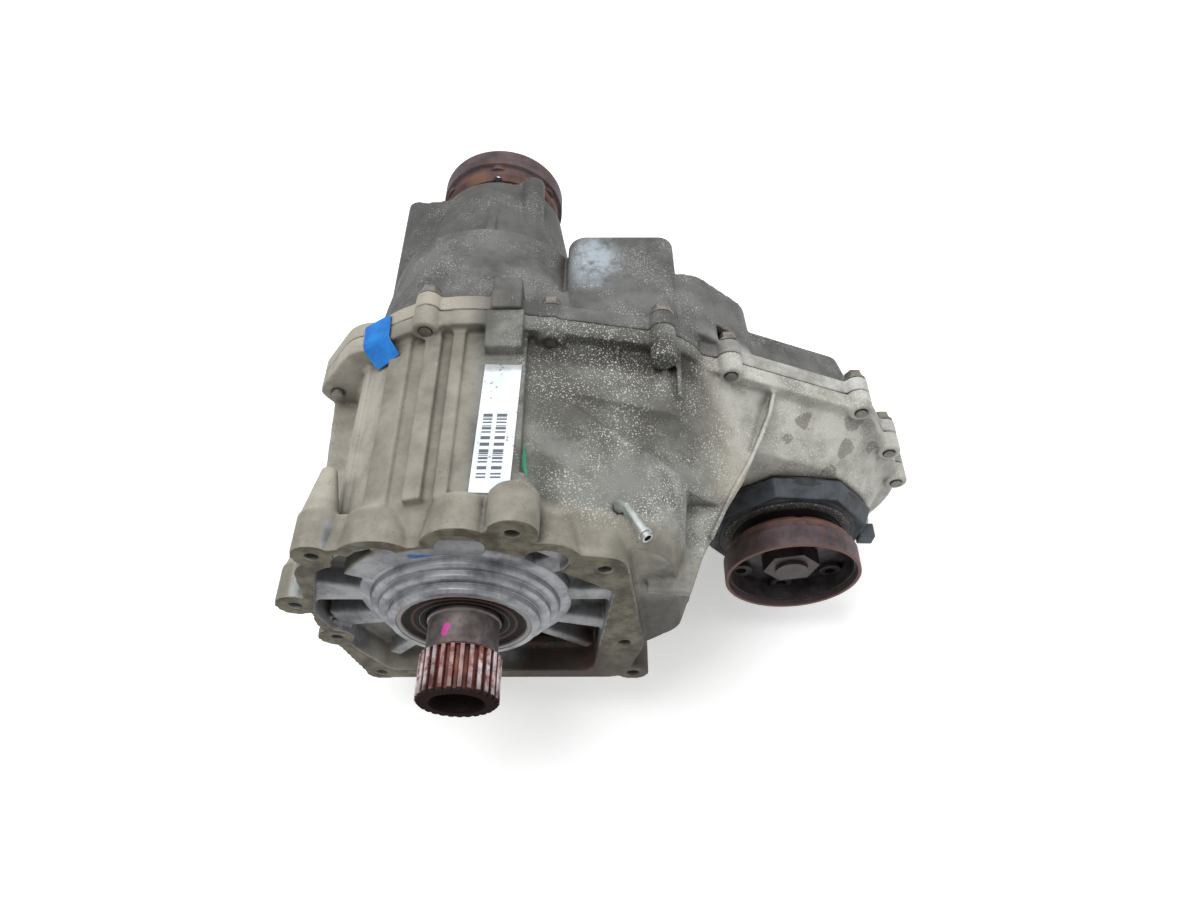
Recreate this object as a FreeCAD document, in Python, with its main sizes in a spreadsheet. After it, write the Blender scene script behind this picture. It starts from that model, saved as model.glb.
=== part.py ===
"""Transfer case for a four-wheel-drive car, as a parametric FreeCAD model.

The row frame: +Y runs rearward along the input axis, +X towards the front output, +Z up.
The origin is the input axis in the plane of the adapter face that bolts to the gearbox.
All lengths are millimetres.
"""
import FreeCAD, Part

import math
import os

import Sketcher
from FreeCAD import Placement, Rotation, Vector

doc = FreeCAD.newDocument("transfer_case")
sheet = doc.addObject("Spreadsheet::Sheet", "Sizes")

SIZES = (
    # chain drive
    ("chain_pitch", 11.1125, "pitch of the silent chain"),
    ("chain_width", 24.0, "width over the guide plates"),
    ("chain_start", 168.0, "front edge of the chain"),
    ("guide_plate", 3.0, "thickness of one outer guide plate"),
    ("link_height", 9.6, "height of a link across the chain"),
    ("output_drop", 22.5, "angle of the centre line below level, in degrees"),
    # casting
    ("wall", 6.0, "casting wall"),
    ("parting", 160.0, "adapter face to parting plane"),
    ("sealant_film", 0.4, "sealant bead squeezed between the halves"),
    ("flange_depth", 12.0, "depth of one parting flange"),
    ("flange_reach", 10.0, "parting flange beyond the casing wall"),
    ("barrel_radius", 86.0, "outside of the main barrel"),
    ("bulge_across", 112.0, "shoulder centre to the right of the axis"),
    ("bulge_up", 32.0, "shoulder centre above the axis"),
    ("bulge_radius", 34.0, "shoulder radius"),
    ("bulge_end", 262.0, "rear wall of the shoulder"),
    ("side_across", 110.0, "side corner to the right of the axis"),
    ("side_down", 62.0, "side corner below the axis"),
    ("side_radius", 32.0, "side corner radius"),
    ("ridge_radius", 20.0, "upper corner radius of the chain case"),
    ("ridge_rise", 98.5, "roof of the chain case above the centre line"),
    ("chain_end_radius", 80.0, "outside of the chain case round the front output"),
    ("chain_front", 120.0, "front wall of the chain case"),
    ("chain_back", 212.0, "rear wall of the chain case"),
    ("rear_cone_radius", 80.0, "rear housing where it leaves the chain case"),
    ("rear_end_radius", 50.0, "rear housing at its end"),
    ("rear_end", 346.0, "end face of the rear housing"),
    ("sump_drop", 114.0, "underside of the barrel below the axis"),
    # adapter flange
    ("adapter_depth", 24.0, "depth of the adapter rim"),
    ("adapter_radius", 79.0, "outside of the adapter rim between its scallops"),
    ("adapter_lip", 3.5, "thickness of the adapter rim between its scallops"),
    ("adapter_foot", 113.0, "lower edge of the adapter rim"),
    ("bell_boss_radius", 12.0, "boss round an adapter bolt hole"),
    ("bell_hole_radius", 4.25, "adapter bolt hole"),
    ("pocket_depth", 19.0, "recess between rim and diaphragm"),
    ("nose_reach", 10.5, "bearing nose in front of the adapter face"),
    ("nose_radius", 45.0, "bearing nose at its foot"),
    ("diaphragm", 7.0, "thickness of the cone that carries the nose"),
    # input shaft
    ("input_reach", 59.0, "shaft end in front of the adapter face"),
    ("spline_length", 27.0, "length of the input splines"),
    ("spline_radius", 24.4, "outside of the input splines"),
    ("spline_depth", 2.6, "depth of the input splines"),
    ("input_bore_radius", 16.3, "bore in the input shaft end"),
    ("input_journal", 22.5, "input bearing seat"),
    ("input_bearing_radius", 37.5, "input bearing outside"),
    ("input_bearing_width", 16.0, "input bearing width"),
    # centre differential
    ("gear_module", 2.0, "module of the differential gears"),
    ("gear_start", 53.0, "front face of the differential gears"),
    ("gear_width", 24.0, "face width of the differential gears"),
    ("ring_wall", 9.0, "ring gear wall behind the teeth"),
    ("carrier_plate", 6.0, "thickness of one carrier plate"),
    ("carrier_radius", 55.0, "outside of the carrier plates"),
    ("planet_pin_radius", 4.0, "planet pin"),
    ("running_gap", 1.0, "end float between turning parts"),
    ("sleeve_radius", 24.0, "outside of the sun gear sleeve"),
    ("sleeve_wall", 5.0, "wall of the sun gear sleeve"),
    ("bush_wall", 2.0, "plain bush between sleeve and shaft"),
    # rear output
    ("rear_journal", 22.5, "rear bearing seat"),
    ("rear_bearing_radius", 42.5, "rear bearing outside"),
    ("rear_bearing_width", 19.0, "rear bearing width"),
    ("rear_rim", 386.0, "adapter face to the rear flange rim"),
    # front output
    ("front_rim", 69.0, "adapter face plane to the front flange rim"),
    ("front_journal", 20.0, "front output bearing seat"),
    ("front_bearing_radius", 40.0, "front output bearing outside"),
    ("front_bearing_width", 18.0, "front output bearing width"),
    ("tail_journal", 15.0, "seat of the rear bearing of the front output"),
    ("tail_bearing_radius", 31.0, "outside of that bearing"),
    ("tail_bearing_width", 16.0, "width of that bearing"),
    ("neck_front", 104.0, "front edge of the front output neck"),
    ("neck_radius", 48.0, "outside of the neck at its front edge"),
    # output flanges
    ("flange_radius", 50.0, "outside of an output flange"),
    ("flange_bolt_circle", 80.0, "bolt circle of an output flange"),
    ("flange_bolt_hole", 4.2, "radius of a flange bolt hole"),
    ("cup_depth", 20.0, "depth of a flange cup"),
    ("cup_wall", 4.5, "rim of a flange cup"),
    ("cup_floor", 8.0, "floor of a flange cup"),
    ("seal_width", 8.0, "width of a shaft seal"),
    ("hub_radius", 27.0, "flange hub under the seal"),
    ("nut_height", 12.0, "flange nut"),
    ("nut_radius", 21.0, "flange nut across corners, as a radius"),
    # fits and fasteners
    ("ball_gap", 0.05, "radial play between a ball and its track"),
    ("shaft_play", 0.04, "radial play of a running fit"),
    ("seal_play", 0.3, "radial gap at a seal lip"),
    ("case_bolt_radius", 4.0, "case bolt shank"),
    ("case_bolt_head", 6.5, "case bolt head across corners, as a radius"),
    ("case_boss_radius", 8.5, "boss round a case bolt"),
    ("plug_radius", 9.0, "fill and drain plug thread"),
    ("breather_radius", 3.2, "breather pipe"),
)

# counts
SPROCKET_TEETH = 32
CHAIN_LINKS = 76
SPLINE_TEETH = 27
SUN_TEETH = 30
PLANET_TEETH = 11
RING_TEETH = 60
PLANET_PAIRS = 3
FLANGE_BOLTS = 6


class Size:
    """A length, and the spreadsheet formula that gives it."""

    def __init__(self, value, formula):
        self.value = value
        self.formula = formula

    def __float__(self):
        return float(self.value)

    def __neg__(self):
        return Size(-self.value, "(-%s)" % self.formula)

    def __add__(self, other):
        other = as_size(other)
        return Size(self.value + other.value, "(%s + %s)" % (self.formula, other.formula))

    def __radd__(self, other):
        return as_size(other) + self

    def __sub__(self, other):
        other = as_size(other)
        return Size(self.value - other.value, "(%s - %s)" % (self.formula, other.formula))

    def __rsub__(self, other):
        return as_size(other) - self

    def __mul__(self, factor):
        return Size(self.value * factor, "(%s * %.6g)" % (self.formula, factor))

    __rmul__ = __mul__

    def __truediv__(self, factor):
        return Size(self.value / factor, "(%s / %.6g)" % (self.formula, factor))


def as_size(value):
    return value if isinstance(value, Size) else Size(float(value), "%.6g" % float(value))


class Sizes:
    """The driving sizes by name, such as size.wall."""


size = Sizes()
for row, (alias, value, meaning) in enumerate(SIZES, start=1):
    sheet.set("A%d" % row, meaning)
    sheet.set("B%d" % row, str(value))
    sheet.setAlias("B%d" % row, alias)
    setattr(size, alias, Size(value, "Sizes.%s" % alias))
doc.recompute()

# places worked out from the driving sizes
CENTRES = (CHAIN_LINKS - SPROCKET_TEETH) / 2 * size.chain_pitch
DROP = math.radians(float(size.output_drop))
OUT_X = CENTRES * math.cos(DROP)
OUT_Z = CENTRES * -math.sin(DROP)
REAR_START = size.parting + size.sealant_film
ZERO = as_size(0)


# ---------------------------------------------------------------- building blocks

def bind(thing, **sizes):
    """Ties properties of a document object to the spreadsheet."""
    for name, value in sizes.items():
        setattr(thing, name, float(value))
        thing.setExpression(name, as_size(value).formula)


def place(thing, x=ZERO, y=ZERO, z=ZERO, turn=None):
    thing.Placement = Placement(Vector(float(x), float(y), float(z)), turn or Rotation())
    for axis, value in (("x", x), ("y", y), ("z", z)):
        if isinstance(value, Size):
            thing.setExpression("Placement.Base." + axis, value.formula)
    return thing


ALONG_Y = Rotation(Vector(1, 0, 0), -90)


def cylinder(name, radius, start, end, x=ZERO, z=ZERO):
    """A cylinder along Y from start to end."""
    thing = doc.addObject("Part::Cylinder", name)
    bind(thing, Radius=radius, Height=end - start)
    return place(thing, x, start, z, ALONG_Y)


def upright(name, radius, x, y, low, high):
    """A cylinder along Z from low to high."""
    thing = doc.addObject("Part::Cylinder", name)
    bind(thing, Radius=radius, Height=high - low)
    return place(thing, x, y, low)


def cone(name, radius_start, radius_end, start, end, x=ZERO, z=ZERO):
    """A cone along Y."""
    thing = doc.addObject("Part::Cone", name)
    bind(thing, Radius1=radius_start, Radius2=radius_end, Height=end - start)
    return place(thing, x, start, z, ALONG_Y)


def block(name, x0, x1, y0, y1, z0, z1):
    thing = doc.addObject("Part::Box", name)
    bind(thing, Length=x1 - x0, Width=y1 - y0, Height=z1 - z0)
    return place(thing, x0, y0, z0)


def fixed(name, shape, placement=None):
    """A shape made by Part's own functions, for forms that no primitive gives."""
    thing = doc.addObject("Part::Feature", name)
    thing.Shape = shape
    if placement:
        thing.Placement = placement
    return thing


def fuse(name, *things):
    if len(things) == 1:
        return things[0]
    thing = doc.addObject("Part::MultiFuse", name)
    thing.Shapes = list(things)
    return thing


def cut(name, base, *tools):
    thing = doc.addObject("Part::Cut", name)
    thing.Base = base
    thing.Tool = fuse(name + "_tools", *tools)
    return thing


def common(name, *things):
    thing = doc.addObject("Part::MultiCommon", name)
    thing.Shapes = list(things)
    return thing


def group(name, things):
    thing = doc.addObject("Part::Compound", name)
    thing.Links = list(things)
    return thing


def turned(name, profile, x=ZERO, z=ZERO):
    """A body turned about the Y axis from a closed profile of (radius, place along Y)."""
    body = doc.addObject("PartDesign::Body", name)
    sketch = body.newObject("Sketcher::SketchObject", name + "_profile")
    plane = [item for item in body.Origin.OriginFeatures if item.Role == "XY_Plane"][0]
    sketch.AttachmentSupport = [(plane, "")]
    sketch.MapMode = "FlatFace"
    corners = [Vector(float(radius), float(along), 0) for radius, along in profile]
    count = len(profile)
    lines = [Part.LineSegment(corners[i], corners[(i + 1) % count]) for i in range(count)]
    sketch.addGeometry(lines, False)
    for i in range(count):
        sketch.addConstraint(Sketcher.Constraint("Coincident", i, 2, (i + 1) % count, 1))
    for i, (radius, along) in enumerate(profile):
        for kind, value in (("DistanceX", radius), ("DistanceY", along)):
            number = sketch.addConstraint(Sketcher.Constraint(kind, -1, 1, i, 1, float(value)))
            if isinstance(value, Size):
                sketch.setExpression("Constraints[%d]" % number, value.formula)
    turn = body.newObject("PartDesign::Revolution", name + "_turn")
    turn.Profile = sketch
    turn.ReferenceAxis = (sketch, ["V_Axis"])
    turn.Angle = 360
    return place(body, x, ZERO, z)


def ring_profile(inner, outer, start, end):
    return [(inner, start), (outer, start), (outer, end), (inner, end)]


# ---------------------------------------------------------------- outlines

def tangent_outline(circles, along):
    """A closed wire round circles (x, z, radius), given anticlockwise seen with X right and Z up."""
    count = len(circles)
    touches = []
    for i in range(count):
        (xa, za, ra), (xb, zb, rb) = circles[i], circles[(i + 1) % count]
        span = math.hypot(xb - xa, zb - za)
        heading = math.atan2(zb - za, xb - xa)
        normal = heading - math.acos((ra - rb) / span)
        touches.append(normal)
    edges = []
    for i in range(count):
        x, z, radius = circles[i]
        start, end = touches[i - 1], touches[i]
        end = start + (end - start) % (2 * math.pi)
        at = [Vector(x + radius * math.cos(a), along, z + radius * math.sin(a))
              for a in (start, (start + end) / 2, end)]
        edges.append(Part.Arc(*at).toShape())
        xn, zn, rn = circles[(i + 1) % count]
        leave = at[2]
        arrive = Vector(xn + rn * math.cos(end), along, zn + rn * math.sin(end))
        edges.append(Part.LineSegment(leave, arrive).toShape())
    return Part.Wire(edges)


def grown(circles, by):
    return [(x, z, radius + by) for x, z, radius in circles]


def prism(circles, start, end):
    """A straight solid on a tangent outline."""
    face = Part.Face(tangent_outline(circles, float(start)))
    return face.extrude(Vector(0, float(end) - float(start), 0))


def taper(first, start, second, end):
    """A solid that changes from one tangent outline to another."""
    wires = [tangent_outline(first, float(start)), tangent_outline(second, float(end))]
    return Part.makeLoft(wires, True, True)


def polygon_prism(points, start, end):
    """A straight solid along Y on a closed outline of (x, z) points."""
    path = [Vector(x, float(start), z) for x, z in points]
    face = Part.Face(Part.makePolygon(path + [path[0]]))
    return face.extrude(Vector(0, float(end) - float(start), 0))


def gear_outline(teeth, pitch_radius, tip, root, phase=0.0, thickness=0.44):
    """Points of a straight-flanked gear: teeth widen from tip to root."""
    pitch_angle = 2 * math.pi / teeth
    lean = 0.13 * (1 if tip > root else -1)
    points = []
    for tooth in range(teeth):
        centre = phase + tooth * pitch_angle
        half_pitch = thickness / 2 * pitch_angle
        half_root = half_pitch + abs(lean) / 2 * pitch_angle
        half_tip = half_pitch - abs(lean) / 2 * pitch_angle
        for radius, half in ((root, -half_root), (tip, -half_tip), (tip, half_tip), (root, half_root)):
            points.append((radius * math.cos(centre + half), radius * math.sin(centre + half)))
    return points


# ---------------------------------------------------------------- casing outlines

wall = float(size.wall)
BARREL = (0, 0, float(size.barrel_radius))
SUMP_LEFT = (-48, 30 - float(size.sump_drop), 30)
SUMP_RIGHT = (74, 30 - float(size.sump_drop), 30)
SIDE = (float(size.side_across), 22 - float(size.side_down), float(size.side_radius))
SHOULDER = (float(size.bulge_across), float(size.bulge_up), float(size.bulge_radius))
SHOULDER_FRONT = (SHOULDER[0] - 14, SHOULDER[1] - 3, SHOULDER[2] + 1)


def along_centres(along, across):
    """A point given along the line between the two axes and across it, upwards."""
    return (along * math.cos(DROP) + across * math.sin(DROP),
            across * math.cos(DROP) - along * math.sin(DROP))


ridge = float(size.ridge_radius)
RIDGE_NEAR = along_centres(0.58 * float(CENTRES), float(size.ridge_rise) - ridge) + (ridge,)
RIDGE_FAR = along_centres(float(CENTRES) - 5, float(size.ridge_rise) - ridge) + (ridge,)
CHAIN_END = (float(OUT_X), float(OUT_Z), float(size.chain_end_radius))

BARREL_OUTLINE = [BARREL, SUMP_LEFT, SUMP_RIGHT, SIDE, SHOULDER]
BARREL_FRONT = [BARREL, SUMP_LEFT, SUMP_RIGHT, SIDE, SHOULDER_FRONT]
CHAIN_OUTLINE = [grown([BARREL], -2)[0], CHAIN_END, RIDGE_FAR, RIDGE_NEAR]
narrow = 36.0
CHAIN_NOSE = [
    (0, 0, BARREL[2] - narrow),
    (CHAIN_END[0], CHAIN_END[1], CHAIN_END[2] - 0.5 * narrow),
    along_centres(float(CENTRES) - 12, CHAIN_END[2] - 0.5 * narrow - 4) + (0.6 * ridge,),
    along_centres(0.58 * float(CENTRES), CHAIN_END[2] - 0.5 * narrow - 4) + (0.6 * ridge,),
]
CHAIN_TAIL = grown([(0, 0, BARREL[2] - 6), CHAIN_END, RIDGE_FAR, RIDGE_NEAR], -7)

FLANGE_FRONT = size.parting - size.flange_depth
FLANGE_BACK = REAR_START + size.flange_depth
reach = float(size.flange_reach)

adapter_foot = -float(size.adapter_foot)
ADAPTER_OUTLINE = [
    (88, adapter_foot + 14, 14),
    (91, -57, 20.5),
    (84.5, 51.5, 13.5),
    (0, 0, float(size.adapter_radius)),
    (-71, 40, 22),
    (-73, -20, 24),
    (-72, adapter_foot + 11, 11),
]
# scallops of the rim: centre and radius, with the depth of the recess left inside each
SCALLOPS = ((-41, 58, 26, 9), (6, 75, 22.5, 9), (52, 60, 21, 8.5), (-62, 60, 14, 6))
lip = float(size.adapter_lip)
POCKET_OUTLINE = [
    (66, adapter_foot + 25, 12),
    (80, 18, 10),
    (0, 0, float(size.adapter_radius) - lip),
    (-66, 38, 16),
    (-74, -8, 20),
    (-65, -56, 17),
    (-58, adapter_foot + 23, 10),
]

# adapter bolts: angle from +X and distance beyond the nominal circle, with the ears they stand in
BELL_CIRCLE = 100.0
BELL_BOLTS = ((68.6, -2.6), (139.3, 1.1), (177.3, 3.2), (205.7, -0.8),
              (235.1, 26.8), (30.6, -1.5), (-27.9, 10.8), (-44.9, 48.8))
BELL_PLACES = [((BELL_CIRCLE + beyond) * math.cos(math.radians(angle)),
                (BELL_CIRCLE + beyond) * math.sin(math.radians(angle)))
               for angle, beyond in BELL_BOLTS]
BELL_EARS = (2.5, 0, 0, 0, -1, 1.5, 0, -1)
BELL_ROOTS = (12, 34, 26, 18, 14, 14, 14, 14)

# case bolts: a corner of the outline, the direction outward from its centre, the distance beyond the
# flange's own line of bolts, and how far the boss runs forward of the flange
CASE_BOLTS = ((BARREL, 163, 4, 1), (BARREL, 106, -1, 4), (BARREL, 58, -1, 5), (SHOULDER, 76, 0, 14),
              (RIDGE_NEAR, 74, 0, 3), (RIDGE_FAR, 62, 0, 3), (CHAIN_END, 36, -1, 3), (CHAIN_END, 8, -1, 3),
              (CHAIN_END, -34, -1, 3), (CHAIN_END, -76, -1, 3), (CHAIN_END, -112, -1, 3),
              (SUMP_RIGHT, -90, 0, 3), (SUMP_LEFT, -105, 0, 3), (BARREL, 205, 0, 3))
BOLT_PLACES = []
for (x, z, radius), angle, beyond, forward in CASE_BOLTS:
    out = radius + reach + 0.5 + beyond
    BOLT_PLACES.append((x + out * math.cos(math.radians(angle)), z + out * math.sin(math.radians(angle))))

# tapped bosses round the rear housing: angle and distance from the axis
REAR_BOSSES = ((161, 68), (57, 55), (-52, 58), (-128, 62))
REAR_BOSS_PLACES = [(away * math.cos(math.radians(angle)), away * math.sin(math.radians(angle)))
                    for angle, away in REAR_BOSSES]


def radial_rib(angle, inner, outer, start, end, width):
    """A flat rib standing on the axis, between two radii."""
    shape = Part.makeBox(outer - inner, end - start, width, Vector(inner, start, -width / 2))
    shape.rotate(Vector(), Vector(0, 1, 0), -angle)
    return shape


def sloped_rib(angle, foot, low, high, start, end, width):
    """A rib whose outer edge runs from low at start to high at end."""
    edge = [Vector(foot, start, 0), Vector(low, start, 0), Vector(high, end, 0), Vector(foot, end, 0)]
    face = Part.Face(Part.makePolygon(edge + [edge[0]]))
    face.translate(Vector(0, 0, -width / 2))
    shape = face.extrude(Vector(0, 0, width))
    shape.rotate(Vector(), Vector(0, 1, 0), -angle)
    return shape


def fin(x, low_y, low_z, high_y, high_z, width):
    """A gusset in a plane across X, tapering into the wall in front of a flange."""
    edge = [Vector(x, low_y, low_z), Vector(x, high_y, high_z), Vector(x, high_y, low_z - 12)]
    face = Part.Face(Part.makePolygon(edge + [edge[0]]))
    return face.extrude(Vector(width, 0, 0))


# ---------------------------------------------------------------- front casing half

adapter_back = float(size.adapter_depth)
diaphragm_front = float(size.pocket_depth)
diaphragm_back = diaphragm_front + float(size.diaphragm)
flange_front = float(FLANGE_FRONT)
parting = float(size.parting)
chain_front = float(size.chain_front)

rim = fixed("adapter_rim", prism(ADAPTER_OUTLINE, 0, adapter_back))
bell_bosses = [
    cylinder("bell_boss_%d" % i, size.bell_boss_radius + ear, ZERO, size.adapter_depth, as_size(x), as_size(z))
    for i, ((x, z), ear) in enumerate(zip(BELL_PLACES, BELL_EARS))
]
bell_roots = [
    cone("bell_root_%d" % i, size.bell_boss_radius + ear - 0.5, size.bell_boss_radius + ear - 7.5,
         size.adapter_depth - 1, size.adapter_depth + root, as_size(x), as_size(z))
    for i, ((x, z), ear, root) in enumerate(zip(BELL_PLACES, BELL_EARS, BELL_ROOTS))
]
scallops = [
    cone("scallop_%d" % i, as_size(radius), as_size(radius - 4), ZERO, size.adapter_depth + 2,
         as_size(x), as_size(z))
    for i, (x, z, radius, left) in enumerate(SCALLOPS)
]
neck_blend = fixed("neck_blend", taper(grown(BARREL_FRONT, -7), adapter_back - 14,
                                       grown(BARREL_FRONT, -0.5), adapter_back + 3))
barrel = fixed("barrel", taper(BARREL_FRONT, adapter_back + 2, BARREL_OUTLINE, parting))
chain_cone = fixed("chain_cone", taper(CHAIN_NOSE, chain_front, CHAIN_OUTLINE, flange_front))
chain_band = fixed("chain_band", prism(CHAIN_OUTLINE, flange_front, parting))
front_flange = fixed("front_flange", prism(grown(BARREL_OUTLINE, reach), flange_front, parting))
front_chain_flange = fixed("front_chain_flange", prism(grown(CHAIN_OUTLINE, reach), flange_front, parting))
front_bolt_bosses = [
    cylinder("front_bolt_boss_%d" % i, size.case_boss_radius, FLANGE_FRONT - bolt[3], size.parting,
             as_size(x), as_size(z))
    for i, ((x, z), bolt) in enumerate(zip(BOLT_PLACES, CASE_BOLTS))
]
ear_x, ear_z = BOLT_PLACES[0]
EAR_OUTLINE = [(ear_x, ear_z, 11), (-70, 6, 20), (-66, 48, 24)]
front_ear = fixed("front_ear", prism(EAR_OUTLINE, flange_front - 1, parting))
neck = fuse("output_neck",
            cylinder("neck_land", size.neck_radius, size.neck_front, FLANGE_FRONT, OUT_X, OUT_Z),
            cone("neck_root", size.neck_radius, size.neck_radius + 14, size.neck_front + 6, FLANGE_FRONT,
                 OUT_X, OUT_Z))
nose_foot = cylinder("nose_foot", size.nose_radius, -size.nose_reach + 6, size.pocket_depth)
nose_tip = cone("nose_tip", size.nose_radius - 4, size.nose_radius, -size.nose_reach, -size.nose_reach + 6)
# steps of the diaphragm round the nose: radius beyond the nose, and place behind the adapter face
NOSE_STEPS = ((1.5, -3.5), (6, -2.5), (7.5, 1), (11, 2), (13, 6), (18.5, 7.5), (21, 13.5))
nose_steps = turned("nose_steps", [(size.input_bearing_radius + 2, as_size(-3.5))] + [
    (size.nose_radius + beyond, as_size(along)) for beyond, along in NOSE_STEPS] + [
    (size.adapter_radius - size.adapter_lip - 1.5, size.pocket_depth - 2),
    (size.adapter_radius - size.adapter_lip - 1.5, size.pocket_depth + 1),
    (size.input_bearing_radius + 2, size.pocket_depth + 1)])

PAD_TOP = float(size.barrel_radius) + 0.2
label_pad = fixed("label_pad", Part.makeBox(30, flange_front - adapter_back, 30,
                                            Vector(7, adapter_back, PAD_TOP - 30)))
front_lug = fixed("front_lug", Part.makeBox(23, 31, 28, Vector(11.5, parting - 31, BARREL[2] - 18)))
long_ribs = [
    fixed("long_rib_%d" % i, radial_rib(angle, BARREL[2] - 8, BARREL[2] + height, adapter_back,
                                        flange_front + 1, width))
    for i, (angle, height, width) in enumerate(((120, 3.5, 17), (104, 4.5, 11), (93.5, 3.5, 8), (143, 3.0, 9),
                                                (222, 3.0, 8), (250, 3.0, 8)))
]
left_web = fixed("left_web", sloped_rib(172, BARREL[2] - 8, BARREL[2] + 9, BARREL[2] + 17, adapter_back,
                                        flange_front + 1, 7))
# the shelf beside the shoulder: its edge in plan, (x, y)
SHELF_EDGE = ((136, 1), (139, 9), (145, 26), (154, 44), (164, 63), (175, 81), (183, 98), (193, 127),
              (199, flange_front + 1))
shelf_plan = [Vector(110, 3, 0)] + [Vector(x, y, 0) for x, y in SHELF_EDGE] + [Vector(120, flange_front + 1, 0)]
shelf_face = Part.Face(Part.makePolygon(shelf_plan + [shelf_plan[0]]))
shelf_face.translate(Vector(0, 0, 14))
side_fin = fixed("side_fin", shelf_face.extrude(Vector(0, 0, 6)))
shoulder_top = SHOULDER[1] + SHOULDER[2]
gussets = [
    fixed("gusset_%d" % i, fin(x, flange_front - 36, shoulder_top - 1, flange_front + 1, shoulder_top + 8, 3))
    for i, x in enumerate((92, 131))
]
foot_block = fixed("foot_block", prism([(SIDE[0] - 16, SIDE[1] - 40, 22), (SIDE[0] - 2, SIDE[1] - 6, 30),
                                        (SIDE[0] - 4, SIDE[1] + 22, 26)], adapter_back - 6, adapter_back + 30))
# a trough across the top of the body that widens to the right
trough_from = Vector(50, 111, 78.5)
trough_way = Vector(112, -38, -17)


def trough(beyond):
    return Part.makeCone(1 + beyond, 29 + beyond, trough_way.Length, trough_from, trough_way)


# the side of the shoulder falls in a slope to the edge of the shelf
SLOPES = ((60, ((110, 10, 10), (158, 17, 3), (118, 44, 10))),
          (98, ((110, 10, 12), (179.5, 17, 3), (121, 50, 12.5))),
          (flange_front + 1, ((112, 10, 14), (195.5, 17, 3), (126, 52, 14))))
slopes = [fixed("slope_%d" % i, taper(list(first), start, list(second), end))
          for i, ((start, first), (end, second)) in enumerate(zip(SLOPES, SLOPES[1:]))]

front_solid = fuse("front_solid", rim, neck_blend, barrel, chain_cone, chain_band, front_flange,
                   front_chain_flange, front_ear, neck, label_pad, front_lug, left_web, side_fin, foot_block,
                   *(slopes + bell_bosses + bell_roots + scallops + front_bolt_bosses + long_ribs + gussets))

pocket = fixed("adapter_pocket", prism(POCKET_OUTLINE, -1, diaphragm_front))
pocket_bays = [
    cylinder("pocket_bay_%d" % i, as_size(radius - left), as_size(-1), as_size(6.5),
             as_size(x), as_size(z))
    for i, (x, z, radius, left) in enumerate(SCALLOPS)
]
pocket_room = cut("pocket_room", fuse("pocket_and_bays", pocket, *pocket_bays), *[
    cylinder("pocket_boss_%d" % i, size.bell_boss_radius - 1, as_size(-2), size.pocket_depth + 1,
             as_size(x), as_size(z))
    for i, (x, z) in enumerate(BELL_PLACES)
])
barrel_room = fixed("barrel_room", taper(grown(BARREL_FRONT, -wall), diaphragm_back,
                                         grown(BARREL_OUTLINE, -wall), parting + 1))
chain_room = fixed("chain_room", taper(grown(CHAIN_NOSE, -wall - 2), chain_front + wall,
                                       grown(CHAIN_OUTLINE, -wall), parting + 1))

PAD_FACE = 6.0
# raised pads and ribs on the diaphragm, each a closed outline of (x, z)
PADS = (
    ((-48, 0), (-91, 0), (-88, 25), (-82, 24), (-50, 13)),
    ((-46, -15), (-89, -17), (-86, -38), (-44, -31)),
    ((48, 0), (88, 0), (88, 15), (49, 13)),
    ((45, -17), (88, -29), (86, -43), (42, -29)),
    ((36, -36), (78, -71), (73, -77), (31, -42)),
    ((40, 27), (78, 43), (72, 54), (52, 52), (34, 40)),
    ((-30, -44), (-64, -84), (-57, -89), (-24, -49)),
)
pads = [fixed("pad_%d" % i, polygon_prism(points, PAD_FACE + (i > 3), diaphragm_front + 1))
        for i, points in enumerate(PADS)]
ledge_ring = Part.makeCylinder(float(size.adapter_radius) - lip + 0.7, diaphragm_front - 4, Vector(0, 5, 0),
                               Vector(0, 1, 0))
ledge_core = Part.makeCylinder(float(size.nose_radius) - 2, diaphragm_front, Vector(0, 3, 0), Vector(0, 1, 0))
ledge_sector = Part.makeCylinder(200, 60, Vector(0, -20, 0), Vector(0, 1, 0), 78)
ledge_sector.rotate(Vector(), Vector(0, 1, 0), -62)
ledge = fixed("ledge", ledge_ring.cut(ledge_core).common(ledge_sector))

window = fixed("drain_window", polygon_prism([(24, -60), (54, -60), (70, -80), (70, -97), (30, -97)],
                                             2, diaphragm_back + 2))
trough_lining = fixed("trough_lining", trough(wall).common(
    prism(grown([BARREL, SIDE, SHOULDER_FRONT], -1), adapter_back + 30, parting - 18)))
trough_cut = fixed("trough_cut", trough(0))
input_seat = cylinder("input_seat", size.input_bearing_radius, -size.nose_reach - 1, size.input_bearing_width)
input_throat = cylinder("input_throat", size.input_bearing_radius - 5, ZERO, size.pocket_depth + 10)
neck_bore = cylinder("neck_bore", size.front_bearing_radius, size.neck_front - 1,
                     size.neck_front + size.seal_width + 2 + size.front_bearing_width + 0.5, OUT_X, OUT_Z)
bell_holes = [
    cylinder("bell_hole_%d" % i, size.bell_hole_radius, as_size(-1), size.adapter_depth + 1, as_size(x), as_size(z))
    for i, (x, z) in enumerate(BELL_PLACES)
]
bolt_threads = [
    cylinder("bolt_thread_%d" % i, size.case_bolt_radius, FLANGE_FRONT - 10, size.parting + 1,
             as_size(x), as_size(z))
    for i, (x, z) in enumerate(BOLT_PLACES)
]

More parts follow.
